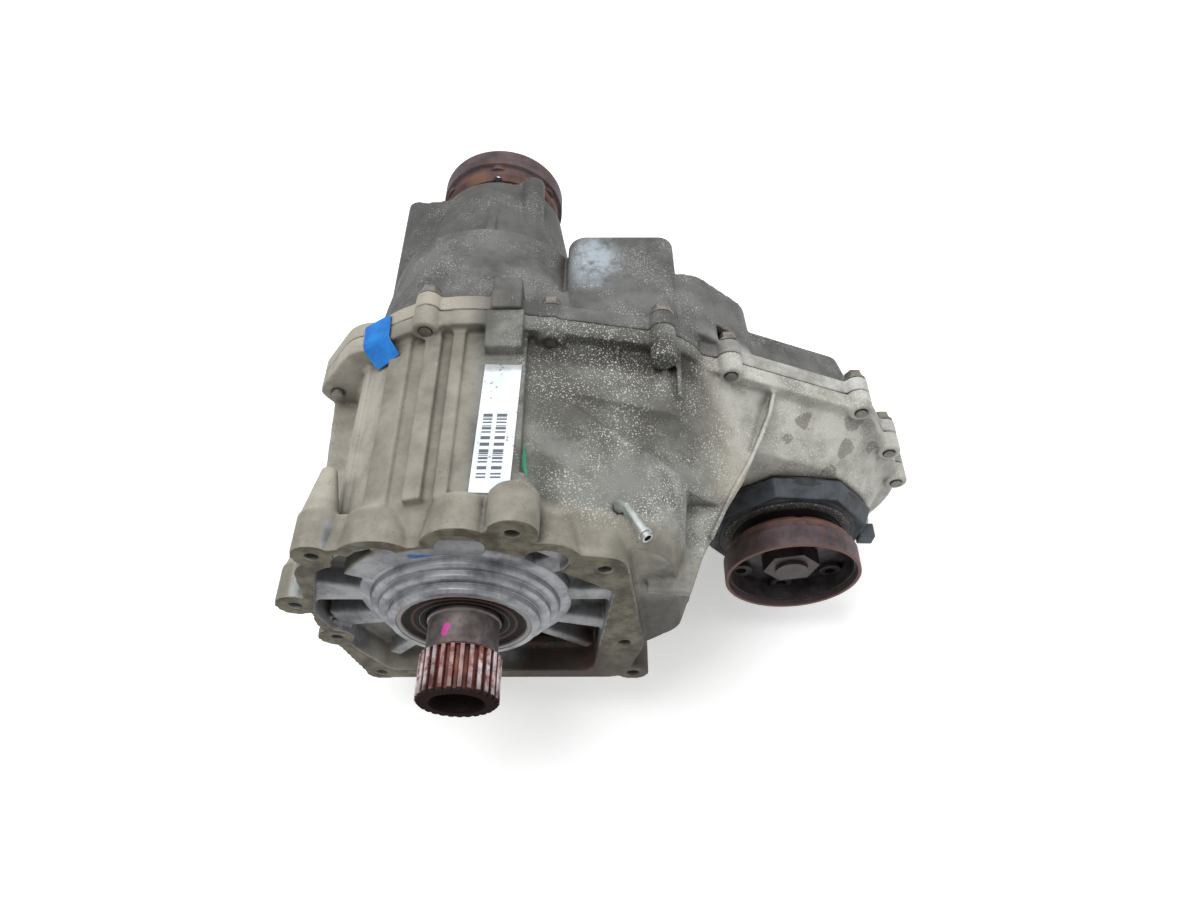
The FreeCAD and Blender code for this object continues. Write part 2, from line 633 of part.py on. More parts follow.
pocketed = cut("front_pocketed", front_solid, pocket_room, barrel_room, chain_room)
NECK_BEARING = size.neck_front + size.seal_width + 2
neck_seat = cylinder("neck_seat", size.front_bearing_radius + 6, size.chain_front,
                     NECK_BEARING + size.front_bearing_width, OUT_X, OUT_Z)
nosed = fuse("front_nosed", pocketed, neck_seat, nose_foot, nose_tip, nose_steps, ledge, trough_lining, *pads)
PIPE_X = as_size(93)
PIPE_Y = as_size(31)
PIPE_FOOT = as_size(SHOULDER_FRONT[1] + SHOULDER_FRONT[2] - 8)
pipe_hole = upright("pipe_hole", size.breather_radius, PIPE_X, PIPE_Y, PIPE_FOOT, PIPE_FOOT + 19)
label_seat = fixed("label_seat", Part.makeBox(30.2, parting - 32 - adapter_back - 3, 18,
                                              Vector(6.9, adapter_back + 3, PAD_TOP)))
front_case = cut("front_case", nosed, window, trough_cut, pipe_hole, label_seat, input_seat, input_throat, neck_bore,
                 *(bell_holes + bolt_threads))


# ---------------------------------------------------------------- rear casing half

rear_start = float(REAR_START)
flange_back = float(FLANGE_BACK)
chain_back = float(size.chain_back)
bulge_end = float(size.bulge_end)
BULGE_OUTLINE = [(88, SIDE[1] - 8, 28), SIDE, (SHOULDER[0] + 12, SHOULDER[1] + 23, 14), (73, SHOULDER[1] + 21, 16)]
BULGE_TAIL = grown(BULGE_OUTLINE, -2.5)
DOME_OUTLINE = [(168, -40, 26), (168, 16, 26), (140, 34, 30), (120, -20, 30)]
DOME_TAIL = grown(DOME_OUTLINE, -4)

rear_flange = fixed("rear_flange", prism(grown(BARREL_OUTLINE, reach), rear_start, flange_back))
rear_chain_flange = fixed("rear_chain_flange", prism(grown(CHAIN_OUTLINE, reach), rear_start, flange_back))
rear_bolt_bosses = [
    cylinder("rear_bolt_boss_%d" % i, size.case_boss_radius, REAR_START, FLANGE_BACK, as_size(x), as_size(z))
    for i, (x, z) in enumerate(BOLT_PLACES)
]
chain_dome = fixed("chain_dome", taper(CHAIN_OUTLINE, flange_back, CHAIN_TAIL, chain_back))
bulge_dome = fixed("bulge_dome", taper(BULGE_OUTLINE, flange_back - 2, BULGE_TAIL, bulge_end))
side_dome = fixed("side_dome", taper(DOME_OUTLINE, flange_back - 2, DOME_TAIL, chain_back + 18))
rear_ear = fixed("rear_ear", prism(EAR_OUTLINE, rear_start, flange_back))
bulge_step = fixed("bulge_step", prism([(SHOULDER[0] + 20, -20, 18), (SHOULDER[0] + 22, 14, 16),
                                        (SHOULDER[0] + 8, 16, 16)], flange_back - 2, bulge_end - 14))
barrel_tail = cone("barrel_tail", size.barrel_radius, size.rear_cone_radius - 6, FLANGE_BACK - 1, size.bulge_end)
rear_cone = cone("rear_cone", size.rear_cone_radius, size.rear_end_radius, FLANGE_BACK, size.rear_end)
rear_lug = fixed("rear_lug", Part.makeBox(19, 26, 30, Vector(14, rear_start, BARREL[2] - 18)))
tail_cap = cylinder("tail_cap", size.tail_bearing_radius + 7, size.chain_start + size.chain_width + 2,
                    size.chain_back + 5, OUT_X, OUT_Z)
rear_end = float(size.rear_end)
rear_boss_columns = [
    cylinder("rear_boss_%d" % i, as_size(9), FLANGE_BACK, size.rear_end, as_size(x), as_size(z))
    for i, (x, z) in enumerate(REAR_BOSS_PLACES)
]
rear_webs = [
    fixed("rear_web_%d" % i, prism([(0, 0, 38), (x, z, 7.5)], flange_back, rear_end - 1))
    for i, (x, z) in enumerate(REAR_BOSS_PLACES)
]
rear_ribs = [
    fixed("rear_rib_%d" % i, sloped_rib(angle, 30, BARREL[2] + 1, float(size.rear_end_radius) + 2,
                                        flange_back, rear_end - 12, 7))
    for i, angle in enumerate((112, 88, 200, 268))
]
plug_boss_places = (along_centres(0.72 * float(CENTRES), -40), along_centres(float(CENTRES) + 24, -50))
plug_bosses = [
    cylinder("plug_boss_%d" % i, size.plug_radius + 7, size.chain_back - 10, size.chain_back + 3,
             as_size(x), as_size(z))
    for i, (x, z) in enumerate(plug_boss_places)
]
rear_solid = fuse("rear_solid", rear_flange, rear_chain_flange, chain_dome, bulge_dome, bulge_step, barrel_tail,
                  rear_cone, rear_lug, side_dome, rear_ear, *(rear_bolt_bosses + rear_boss_columns + rear_webs + rear_ribs
                                         + plug_bosses))

PUMP_START = size.chain_back - size.wall
PUMP_END = PUMP_START + 16
PUMP_RADIUS = as_size(60)
PUMP_CLEARANCE = 0.05
REAR_BEARING = size.rear_end - size.seal_width - 3 - size.rear_bearing_width
chain_room_back = fixed("chain_room_back", taper(grown(CHAIN_OUTLINE, -wall), rear_start - 1,
                                                 grown(CHAIN_TAIL, -wall), float(PUMP_START)))
bulge_room = fixed("bulge_room", taper(grown(BULGE_OUTLINE, -wall), rear_start - 1,
                                       grown(BULGE_TAIL, -wall), bulge_end - wall))
dome_room = fixed("dome_room", taper(grown(DOME_OUTLINE, -wall), rear_start - 1,
                                     grown(DOME_TAIL, -wall), chain_back + 18 - wall))
pump_seat = cylinder("pump_seat", PUMP_RADIUS, PUMP_START - 1, PUMP_END)
cone_room = cone("cone_room", PUMP_RADIUS - 4, size.rear_bearing_radius - 3, PUMP_END - 1, REAR_BEARING)
throat = cylinder("rear_throat", size.rear_bearing_radius - 4, REAR_BEARING - 2, REAR_BEARING + 1)
rear_seat = cylinder("rear_seat", size.rear_bearing_radius, REAR_BEARING, size.rear_end + 1)
roomed = cut("rear_roomed", rear_solid, chain_room_back, bulge_room, dome_room, pump_seat, cone_room, throat, rear_seat)
TAIL_BEARING = size.chain_start + size.chain_width + 2
tail_seat = cylinder("tail_seat", size.tail_bearing_radius, TAIL_BEARING - 1,
                     TAIL_BEARING + size.tail_bearing_width, OUT_X, OUT_Z)
rear_bolt_holes = [
    cylinder("rear_bolt_hole_%d" % i, size.case_bolt_radius + 0.5, REAR_START - 1, FLANGE_BACK + 1,
             as_size(x), as_size(z))
    for i, (x, z) in enumerate(BOLT_PLACES)
]
bolt_spotfaces = [
    cylinder("bolt_spotface_%d" % i, size.case_bolt_head + 2.5, FLANGE_BACK, FLANGE_BACK + 16,
             as_size(x), as_size(z))
    for i, (x, z) in enumerate(BOLT_PLACES)
]
rear_boss_holes = [
    cylinder("rear_boss_hole_%d" % i, size.bell_hole_radius, size.rear_end - 22, size.rear_end + 1,
             as_size(x), as_size(z))
    for i, (x, z) in enumerate(REAR_BOSS_PLACES)
]
plug_holes = [
    cylinder("plug_hole_%d" % i, size.plug_radius, size.chain_back - 20, size.chain_back + 4,
             as_size(x), as_size(z))
    for i, (x, z) in enumerate(plug_boss_places)
]
rear_case = cut("rear_case", fuse("rear_capped", roomed, tail_cap), tail_seat,
                *(rear_bolt_holes + bolt_spotfaces + rear_boss_holes + plug_holes))

# sealant between the halves, and what clamps them
film = float(size.sealant_film)
sealant_sheet = fuse("sealant_sheet",
                     fixed("sealant_barrel", prism(grown(BARREL_OUTLINE, reach - 1), parting, rear_start)),
                     fixed("sealant_chain", prism(grown(CHAIN_OUTLINE, reach - 1), parting, rear_start)))
sealant_openings = [
    fixed("sealant_barrel_opening", prism(grown(BARREL_OUTLINE, -wall), parting - 1, rear_start + 1)),
    fixed("sealant_chain_opening", prism(grown(CHAIN_OUTLINE, -wall), parting - 1, rear_start + 1)),
]
sealant_bolts = [
    cylinder("sealant_bolt_%d" % i, size.case_bolt_radius + 1, size.parting - 1, REAR_START + 1,
             as_size(x), as_size(z))
    for i, (x, z) in enumerate(BOLT_PLACES)
]
case_sealant = cut("case_sealant", sealant_sheet, *(sealant_openings + sealant_bolts))


def hexagon(radius, start, end, turn=0.0):
    points = [(radius * math.cos(math.radians(60 * i + turn)), radius * math.sin(math.radians(60 * i + turn)))
              for i in range(6)]
    return polygon_prism(points, start, end)


case_bolt_parts = []
for i, (x, z) in enumerate(BOLT_PLACES):
    shank = cylinder("bolt_shank_%d" % i, size.case_bolt_radius, FLANGE_FRONT - 4, FLANGE_BACK + 2,
                     as_size(x), as_size(z))
    collar = cylinder("bolt_collar_%d" % i, size.case_bolt_head + 1.5, FLANGE_BACK, FLANGE_BACK + 2,
                      as_size(x), as_size(z))
    head = fixed("bolt_head_%d" % i, hexagon(float(size.case_bolt_head), flange_back + 1, flange_back + 8),
                 Placement(Vector(x, 0, z), Rotation()))
    case_bolt_parts.append(fuse("case_bolt_%d" % i, shank, collar, head))
case_bolts = group("case_bolts", case_bolt_parts)


# ---------------------------------------------------------------- bearings and seals

def bearing(name, seat, outside, start, width, balls, x=ZERO, z=ZERO):
    """A ball bearing: outer race, inner race, cage and balls, as four pieces."""
    pitch = (seat + outside) / 2
    ball = (outside - seat) * 0.28
    land = ball * 0.45
    middle = start + width / 2
    track = doc.addObject("Part::Torus", name + "_track")
    bind(track, Radius1=pitch, Radius2=ball + size.ball_gap)
    place(track, x, middle, z, ALONG_Y)
    outer = cut(name + "_outer_race", turned(name + "_outer_ring", ring_profile(
        pitch + land, outside, start, start + width), x, z), track)
    inner = cut(name + "_inner_race", turned(name + "_inner_ring", ring_profile(
        seat, pitch - land, start, start + width), x, z), track)
    spheres = []
    pockets = []
    for i in range(balls):
        angle = 2 * math.pi * i / balls
        spot = (x + pitch * math.cos(angle), middle, z + pitch * math.sin(angle))
        sphere = doc.addObject("Part::Sphere", "%s_ball_%d" % (name, i))
        bind(sphere, Radius=ball)
        spheres.append(place(sphere, *spot))
        hole = doc.addObject("Part::Cylinder", "%s_pocket_%d" % (name, i))
        bind(hole, Radius=ball + 0.15, Height=outside)
        spoke = Rotation(Vector(0, 0, 1), Vector(math.cos(angle), 0, math.sin(angle)))
        pockets.append(place(hole, x, middle, z, spoke))
    cage = cut(name + "_cage", turned(name + "_cage_ring", ring_profile(
        pitch - land * 0.5, pitch + land * 0.5, middle - ball * 1.25, middle + ball * 1.25), x, z), *pockets)
    return {name + "_outer_race": outer, name + "_inner_race": inner, name + "_cage": cage,
            name + "_balls": group(name + "_balls", spheres)}


def seal(name, lip, outside, start, width, x=ZERO, z=ZERO):
    """A shaft seal: a metal case with a rubber lip that clears the shaft by seal_play."""
    inner = lip + size.seal_play
    return turned(name, [(inner, start + 1), (inner + 2, start), (outside, start), (outside, start + width),
                         (outside - 3, start + width), (outside - 3, start + 3), (inner + 3, start + 3),
                         (inner, start + 4)], x, z)


nodes = {"front_case": front_case, "rear_case": rear_case, "case_sealant": case_sealant,
         "case_bolts": case_bolts}
nodes.update(bearing("input_bearing", size.input_journal, size.input_bearing_radius, ZERO,
                     size.input_bearing_width, 9))
nodes.update(bearing("rear_bearing", size.rear_journal, size.rear_bearing_radius, REAR_BEARING,
                     size.rear_bearing_width, 8))
nodes.update(bearing("front_bearing", size.front_journal, size.front_bearing_radius, NECK_BEARING,
                     size.front_bearing_width, 8, OUT_X, OUT_Z))
nodes.update(bearing("tail_bearing", size.tail_journal, size.tail_bearing_radius, TAIL_BEARING,
                     size.tail_bearing_width, 8, OUT_X, OUT_Z))
nodes["input_seal"] = seal("input_seal", size.input_journal, size.input_bearing_radius,
                           -size.nose_reach + 2, size.seal_width)
nodes["rear_output_seal"] = seal("rear_output_seal", size.hub_radius, size.rear_bearing_radius,
                                 size.rear_end - size.seal_width, size.seal_width)
nodes["front_output_seal"] = seal("front_output_seal", size.hub_radius, size.front_bearing_radius,
                                  size.neck_front, size.seal_width, OUT_X, OUT_Z)


# ---------------------------------------------------------------- input shaft and centre differential

module = float(size.gear_module)
SUN_R = module * SUN_TEETH / 2
RING_R = module * RING_TEETH / 2
PLANET_R = module * PLANET_TEETH / 2
ADDENDUM = 0.8 * module
DEDENDUM = 1.1 * module
GEAR_END = size.gear_start + size.gear_width
RING_OUTSIDE = as_size(RING_R + DEDENDUM) + size.ring_wall
DISC_FRONT = size.gear_start - size.running_gap * 3 - size.carrier_plate - 8
DISC_BACK = DISC_FRONT + 8
PILOT_RADIUS = as_size(12)
SHAFT_RADIUS = size.sleeve_radius - size.sleeve_wall - size.bush_wall - size.shaft_play

input_turned = turned("input_turned", [
    (size.input_bore_radius, -size.input_reach), (size.spline_radius - 1.5, -size.input_reach),
    (size.spline_radius, -size.input_reach + 1.5), (size.spline_radius, -size.input_reach + size.spline_length),
    (size.input_journal - 1, -size.input_reach + size.spline_length + 2),
    (size.input_journal - 1, -size.nose_reach), (size.input_journal, -size.nose_reach + 1),
    (size.input_journal, size.input_bearing_width), (size.input_journal + 6, size.input_bearing_width),
    (size.input_journal + 6, DISC_FRONT - 6), (size.input_journal + 14, DISC_FRONT),
    (RING_OUTSIDE, DISC_FRONT), (RING_OUTSIDE, DISC_BACK),
    (PILOT_RADIUS + 2, DISC_BACK), (PILOT_RADIUS + 2, DISC_BACK - 18), (ZERO, DISC_BACK - 18),
    (ZERO, -size.input_reach + 34), (size.input_bore_radius, -size.input_reach + 32)])
spline_end = -float(size.input_reach) + float(size.spline_length)
spline_teeth = fixed("spline_teeth", polygon_prism(gear_outline(
    SPLINE_TEETH, float(size.spline_radius), float(size.spline_radius) + 0.5,
    float(size.spline_radius - size.spline_depth), 0.0, 0.5), -float(size.input_reach) - 1, spline_end + 3))
spline_blank = cylinder("spline_blank", size.spline_radius + 3, -size.input_reach - 0.5,
                        -size.input_reach + size.spline_length)
input_shaft = cut("input_shaft", input_turned, cut("spline_gaps", spline_blank, spline_teeth))
nodes["input_shaft"] = input_shaft
nodes["pilot_bush"] = turned("pilot_bush", ring_profile(
    PILOT_RADIUS + size.shaft_play, PILOT_RADIUS + 2, DISC_BACK - 17, DISC_BACK - 2))


def gear(name, teeth, start, end, bore, phase=0.0, placement=None, tip=None, root=None, thickness=0.42):
    pitch_radius = module * teeth / 2
    shape = polygon_prism(gear_outline(teeth, pitch_radius, tip or pitch_radius + ADDENDUM,
                                       root or pitch_radius - DEDENDUM, phase, thickness), start, end)
    hole = Part.makeCylinder(float(bore), float(end) - float(start) + 2, Vector(0, float(start) - 1, 0),
                             Vector(0, 1, 0))
    return fixed(name, shape.cut(hole), placement)


# two planets in line between sun and ring: the inner meshes with the sun, the outer with the ring
INNER_ORBIT = SUN_R + PLANET_R
OUTER_ORBIT = RING_R - PLANET_R
lean = math.acos((INNER_ORBIT ** 2 + OUTER_ORBIT ** 2 - (2 * PLANET_R) ** 2) / (2 * INNER_ORBIT * OUTER_ORBIT))


def meshed(phase, radius, towards, other_radius, other_teeth):
    """Phase of the gear that meshes with one of the given phase, seen towards its centre."""
    return towards + math.pi - (phase - towards) * radius / other_radius - math.pi / other_teeth


planets = []
pins = []
PIN_START = size.gear_start - size.running_gap - size.carrier_plate
PIN_END = GEAR_END + size.running_gap + size.carrier_plate
for i in range(PLANET_PAIRS):
    turn = 2 * math.pi * i / PLANET_PAIRS
    inner_at = (INNER_ORBIT * math.cos(turn), INNER_ORBIT * math.sin(turn))
    outer_at = (OUTER_ORBIT * math.cos(turn + lean), OUTER_ORBIT * math.sin(turn + lean))
    inner_phase = meshed(0.0, SUN_R, turn, PLANET_R, PLANET_TEETH)
    between = math.atan2(outer_at[1] - inner_at[1], outer_at[0] - inner_at[0])
    outer_phase = meshed(inner_phase, PLANET_R, between, PLANET_R, PLANET_TEETH)
    if i == 0:
        ring_gap = lean + (outer_phase - lean) * PLANET_R / RING_R
    for kind, (x, z), phase in (("inner", inner_at, inner_phase), ("outer", outer_at, outer_phase)):
        planets.append(gear("planet_%s_%d" % (kind, i), PLANET_TEETH, size.gear_start, GEAR_END,
                            size.planet_pin_radius + size.shaft_play, phase,
                            Placement(Vector(x, 0, z), Rotation())))
        pins.append(cylinder("planet_pin_%s_%d" % (kind, i), size.planet_pin_radius, PIN_START, PIN_END,
                             as_size(x), as_size(z)))
nodes["planet_gears"] = group("planet_gears", planets)
nodes["planet_pins"] = group("planet_pins", pins)

ring_hole = fixed("ring_hole", polygon_prism(gear_outline(
    RING_TEETH, RING_R, RING_R - ADDENDUM, RING_R + DEDENDUM, ring_gap + math.pi / RING_TEETH, 0.42),
    float(size.gear_start) - 2, float(GEAR_END) + 8))
ring_relief = cylinder("ring_relief", as_size(RING_R + DEDENDUM), DISC_BACK - 1, size.gear_start)
ring_blank = turned("ring_blank", ring_profile(as_size(RING_R - ADDENDUM - 3), RING_OUTSIDE, DISC_BACK, GEAR_END))
nodes["ring_gear"] = cut("ring_gear", ring_blank, ring_hole, ring_relief)

SPROCKET_START = size.chain_start - 2
SPROCKET_END = size.chain_start + size.chain_width + 1
sun_teeth = gear("sun_teeth", SUN_TEETH, size.gear_start, GEAR_END, size.sleeve_radius - size.sleeve_wall)
sun_sleeve = turned("sun_sleeve", ring_profile(size.sleeve_radius - size.sleeve_wall, size.sleeve_radius,
                                               GEAR_END - 1, SPROCKET_END + 6))
nodes["sun_gear"] = fuse("sun_gear", sun_teeth, sun_sleeve)
bush_inner = SHAFT_RADIUS + size.shaft_play
nodes["sleeve_bushes"] = group("sleeve_bushes", [
    turned("sleeve_bush_front", ring_profile(bush_inner, size.sleeve_radius - size.sleeve_wall,
                                             size.gear_start + 2, size.gear_start + 20)),
    turned("sleeve_bush_rear", ring_profile(bush_inner, size.sleeve_radius - size.sleeve_wall,
                                            SPROCKET_END - 16, SPROCKET_END + 4))])

front_plate = turned("carrier_front_plate", ring_profile(SHAFT_RADIUS, size.carrier_radius, PIN_START,
                                                         PIN_START + size.carrier_plate))
rear_plate = turned("carrier_rear_plate", ring_profile(size.sleeve_radius + 2, size.carrier_radius,
                                                       PIN_END - size.carrier_plate, PIN_END))
pillars = []
for i in range(PLANET_PAIRS):
    turn = 2 * math.pi * (i + 0.5) / PLANET_PAIRS + lean / 2
    orbit = (INNER_ORBIT + OUTER_ORBIT) / 2
    pillars.append(cylinder("carrier_pillar_%d" % i, as_size(6.5), PIN_START, PIN_END,
                            as_size(orbit * math.cos(turn)), as_size(orbit * math.sin(turn))))
pin_holes = [cylinder("pin_hole_%d" % i, size.planet_pin_radius, PIN_START - 1, PIN_END + 1,
                      as_size(pin.Placement.Base.x), as_size(pin.Placement.Base.z))
             for i, pin in enumerate(pins)]
nodes["planet_carrier"] = cut("planet_carrier", fuse("carrier_blank", front_plate, rear_plate, *pillars),
                              *pin_holes)


# ---------------------------------------------------------------- rear output

HUB_SEAT = as_size(19)
THREAD = as_size(12)
REAR_FLOOR = size.rear_rim - size.cup_depth
nodes["rear_output_shaft"] = turned("rear_output_shaft", [
    (ZERO, DISC_BACK - 16), (PILOT_RADIUS, DISC_BACK - 16), (PILOT_RADIUS, DISC_BACK), (SHAFT_RADIUS, DISC_BACK + 1),
    (SHAFT_RADIUS, REAR_BEARING - 14), (size.rear_journal + 4, REAR_BEARING - 8),
    (size.rear_journal + 4, REAR_BEARING), (size.rear_journal, REAR_BEARING),
    (size.rear_journal, REAR_BEARING + size.rear_bearing_width),
    (HUB_SEAT, REAR_BEARING + size.rear_bearing_width), (HUB_SEAT, REAR_FLOOR - 1), (THREAD, REAR_FLOOR - 1),
    (THREAD, REAR_FLOOR + size.nut_height + 3), (ZERO, REAR_FLOOR + size.nut_height + 3)])


def cup_flange(name, rim, hub_end, facing, x=ZERO, z=ZERO):
    """A drive flange: a cup open at rim, its bolt floor, and a hub that runs to the bearing."""
    floor = rim - facing * size.cup_depth
    back = floor - facing * size.cup_floor
    outer = size.flange_radius
    inner = outer - size.cup_wall
    blank = turned(name + "_blank", [
        (HUB_SEAT, floor), (inner, floor), (inner, rim - facing * 5), (inner + 2, rim - facing * 5),
        (inner + 2, rim), (outer, rim), (outer, rim - facing * 16), (outer - 3, rim - facing * 17),
        (outer - 4, back + facing * 4), (outer - 8, back), (size.hub_radius + 6, back),
        (size.hub_radius, back - facing * 5), (size.hub_radius, hub_end), (HUB_SEAT, hub_end)], x, z)
    low, high = (back, floor) if facing > 0 else (floor, back)
    holes = []
    lobes = []
    for i in range(FLANGE_BOLTS):
        angle = 2 * math.pi * i / FLANGE_BOLTS + math.pi / 6
        at = (x + size.flange_bolt_circle * (0.5 * math.cos(angle)),
              z + size.flange_bolt_circle * (0.5 * math.sin(angle)))
        holes.append(cylinder("%s_hole_%d" % (name, i), size.flange_bolt_hole, low - 8, high + 8, *at))
        if facing > 0:
            lobes.append(cylinder("%s_lobe_%d" % (name, i), size.flange_bolt_hole + 4.3, floor - 1, floor + 4, *at))
        else:
            lobes.append(cylinder("%s_lobe_%d" % (name, i), size.flange_bolt_hole + 4.3, floor - 4, floor + 1, *at))
    return cut(name, fuse(name + "_lobed", blank, *lobes), *holes)


def flange_nut(name, floor, facing, x=ZERO, z=ZERO):
    start = float(floor)
    end = start + facing * float(size.nut_height)
    body = hexagon(float(size.nut_radius), min(start, end), max(start, end), 15)
    bore = Part.makeCylinder(float(THREAD), 60, Vector(0, min(start, end) - 5, 0), Vector(0, 1, 0))
    return fixed(name, body.cut(bore), Placement(Vector(float(x), 0, float(z)), Rotation()))


nodes["rear_output_flange"] = cup_flange("rear_output_flange", size.rear_rim,
                                         REAR_BEARING + size.rear_bearing_width, 1)
nodes["rear_flange_nut"] = flange_nut("rear_flange_nut", REAR_FLOOR, 1)


# ---------------------------------------------------------------- chain drive and front output

PITCH_RADIUS = float(size.chain_pitch) / (2 * math.sin(math.pi / SPROCKET_TEETH))
LINK_CLEAR = PITCH_RADIUS * math.cos(math.pi / SPROCKET_TEETH) - float(size.link_height) / 2 - 0.4


def sprocket(name, bore, x=ZERO, z=ZERO):
    teeth = gear_outline(SPROCKET_TEETH, LINK_CLEAR, LINK_CLEAR, LINK_CLEAR - 4.5, 0.0, 0.5)
    toothed = polygon_prism(teeth, size.chain_start + size.guide_plate, size.chain_start + size.chain_width
                            - size.guide_plate)
    wheel = fixed(name + "_teeth", toothed, Placement(Vector(float(x), 0, float(z)), Rotation()))
    hub = cylinder(name + "_hub", bore + 9, SPROCKET_START, SPROCKET_END, x, z)
    hollow = cylinder(name + "_bore", bore, SPROCKET_START - 1, SPROCKET_END + 1, x, z)
    recesses = [turned("%s_recess_%d" % (name, i), ring_profile(bore + 9, as_size(LINK_CLEAR - 9), low, high), x, z)
                for i, (low, high) in enumerate((
                    (size.chain_start + size.guide_plate - 1, size.chain_start + size.guide_plate + 5),
                    (size.chain_start + size.chain_width - size.guide_plate - 5,
                     size.chain_start + size.chain_width - size.guide_plate + 1)))]
    return cut(name, fuse(name + "_blank", wheel, hub), hollow, *recesses)


nodes["drive_sprocket"] = sprocket("drive_sprocket", size.sleeve_radius)
nodes["driven_sprocket"] = sprocket("driven_sprocket", size.sleeve_radius, OUT_X, OUT_Z)
nodes["sprocket_snap_ring"] = turned("sprocket_snap_ring", ring_profile(
    size.sleeve_radius, size.sleeve_radius + 4, SPROCKET_END, SPROCKET_END + 2))

# the chain's pins lie on a loop of two half turns and two straight runs
half_teeth = SPROCKET_TEETH // 2
straight_links = (CHAIN_LINKS - SPROCKET_TEETH) // 2
pins_on_loop = []
for k in range(half_teeth):
    angle = math.pi / 2 - 2 * math.pi * k / SPROCKET_TEETH
    pins_on_loop.append((float(CENTRES) + PITCH_RADIUS * math.cos(angle), PITCH_RADIUS * math.sin(angle)))
for k in range(straight_links):
    pins_on_loop.append((float(CENTRES) - k * float(size.chain_pitch), -PITCH_RADIUS))
for k in range(half_teeth):
    angle = -math.pi / 2 - 2 * math.pi * k / SPROCKET_TEETH
    pins_on_loop.append((PITCH_RADIUS * math.cos(angle), PITCH_RADIUS * math.sin(angle)))
for k in range(straight_links):
    pins_on_loop.append((k * float(size.chain_pitch), PITCH_RADIUS))

half_link = float(size.chain_pitch) / 2
tall = float(size.link_height) / 2
LINK_SHAPE = ((half_link + tall, 0), (half_link + tall / 2, tall), (-half_link - tall / 2, tall),
              (-half_link - tall, 0), (-half_link - tall / 2, -tall), (half_link + tall / 2, -tall))
chain_layers = (
    (size.chain_start + size.guide_plate, size.chain_start + size.chain_width - size.guide_plate),
    (size.chain_start, size.chain_start + size.guide_plate),
    (size.chain_start + size.chain_width - size.guide_plate, size.chain_start + size.chain_width),
)
links = []
for i in range(CHAIN_LINKS):
    (xa, za), (xb, zb) = pins_on_loop[i], pins_on_loop[(i + 1) % CHAIN_LINKS]
    heading = math.atan2(zb - za, xb - xa)
    middle = ((xa + xb) / 2, (za + zb) / 2)
    points = []
    for along, across in LINK_SHAPE:
        u = middle[0] + along * math.cos(heading) - across * math.sin(heading)
        v = middle[1] + along * math.sin(heading) + across * math.cos(heading)
        points.append(along_centres(u, v))
    for start, end in (chain_layers[:1] if i % 2 == 0 else chain_layers[1:]):
        links.append(polygon_prism(points, start, end))
nodes["drive_chain"] = fixed("drive_chain", Part.makeCompound(links))

FRONT_FLOOR = size.front_rim + size.cup_depth
nodes["front_output_shaft"] = turned("front_output_shaft", [
    (ZERO, FRONT_FLOOR - size.nut_height - 3), (THREAD, FRONT_FLOOR - size.nut_height - 3),
    (THREAD, FRONT_FLOOR + 1), (HUB_SEAT, FRONT_FLOOR + 1), (HUB_SEAT, NECK_BEARING),
    (size.front_journal, NECK_BEARING), (size.front_journal, NECK_BEARING + size.front_bearing_width),
    (size.sleeve_radius, NECK_BEARING + size.front_bearing_width), (size.sleeve_radius, SPROCKET_END),
    (size.tail_journal, TAIL_BEARING), (size.tail_journal, TAIL_BEARING + size.tail_bearing_width - 1),
    (ZERO, TAIL_BEARING + size.tail_bearing_width - 1)], OUT_X, OUT_Z)
nodes["front_output_flange"] = cup_flange("front_output_flange", size.front_rim, NECK_BEARING, -1, OUT_X, OUT_Z)
nodes["front_flange_nut"] = flange_nut("front_flange_nut", FRONT_FLOOR, -1, OUT_X, OUT_Z)
nodes["front_output_shield"] = turned("front_output_shield", [
    (size.neck_radius, size.neck_front + 1), (size.neck_radius + 3, size.neck_front + 1),
    (size.neck_radius + 12, size.neck_front + 11), (size.neck_radius + 12, size.neck_front + 15),
    (size.neck_radius + 10.5, size.neck_front + 15), (size.neck_radius + 10.5, size.neck_front + 11.6),
    (size.neck_radius + 2.4, size.neck_front + 4), (size.neck_radius, size.neck_front + 4)], OUT_X, OUT_Z)


# ---------------------------------------------------------------- lubrication, plugs and what is fixed outside

pump_disc = turned("pump_disc", ring_profile(SHAFT_RADIUS + 1.5, PUMP_RADIUS - PUMP_CLEARANCE, PUMP_START, PUMP_END))
pump_room = turned("pump_room", ring_profile(SHAFT_RADIUS, SHAFT_RADIUS + 12, PUMP_START + 4, PUMP_END - 4))
PORT_X, PORT_Z = along_centres(42, -28)
pump_port = cylinder("pump_port", as_size(9), PUMP_START - 12, PUMP_START + 1, as_size(PORT_X), as_size(PORT_Z))
TUBE_RADIUS = 4.5
tube_y = float(PUMP_START) - 6.3
tube_end = along_centres(float(CENTRES) - 40, -60.5)
tube_length = math.hypot(tube_end[0] - PORT_X, tube_end[1] - PORT_Z)
tube_way = Vector(tube_end[0] - PORT_X, 0, tube_end[1] - PORT_Z)
tube_from = Vector(PORT_X, tube_y, PORT_Z)
tube_way.normalize()
port_reach = 9.2
tube = Part.makeCylinder(TUBE_RADIUS, tube_length - port_reach, tube_from + tube_way * port_reach, tube_way)
bore = Part.makeCylinder(TUBE_RADIUS - 1, tube_length - port_reach, tube_from + tube_way * port_reach, tube_way)
nodes["oil_pickup_tube"] = fixed("oil_pickup_tube", tube.cut(bore))
nodes["oil_pump_housing"] = cut("oil_pump_housing", fuse("pump_body", pump_disc, pump_port), pump_room)
rotor_points = gear_outline(8, float(SHAFT_RADIUS) + 8, float(SHAFT_RADIUS) + 10.5, float(SHAFT_RADIUS) + 5, 0.0, 0.45)
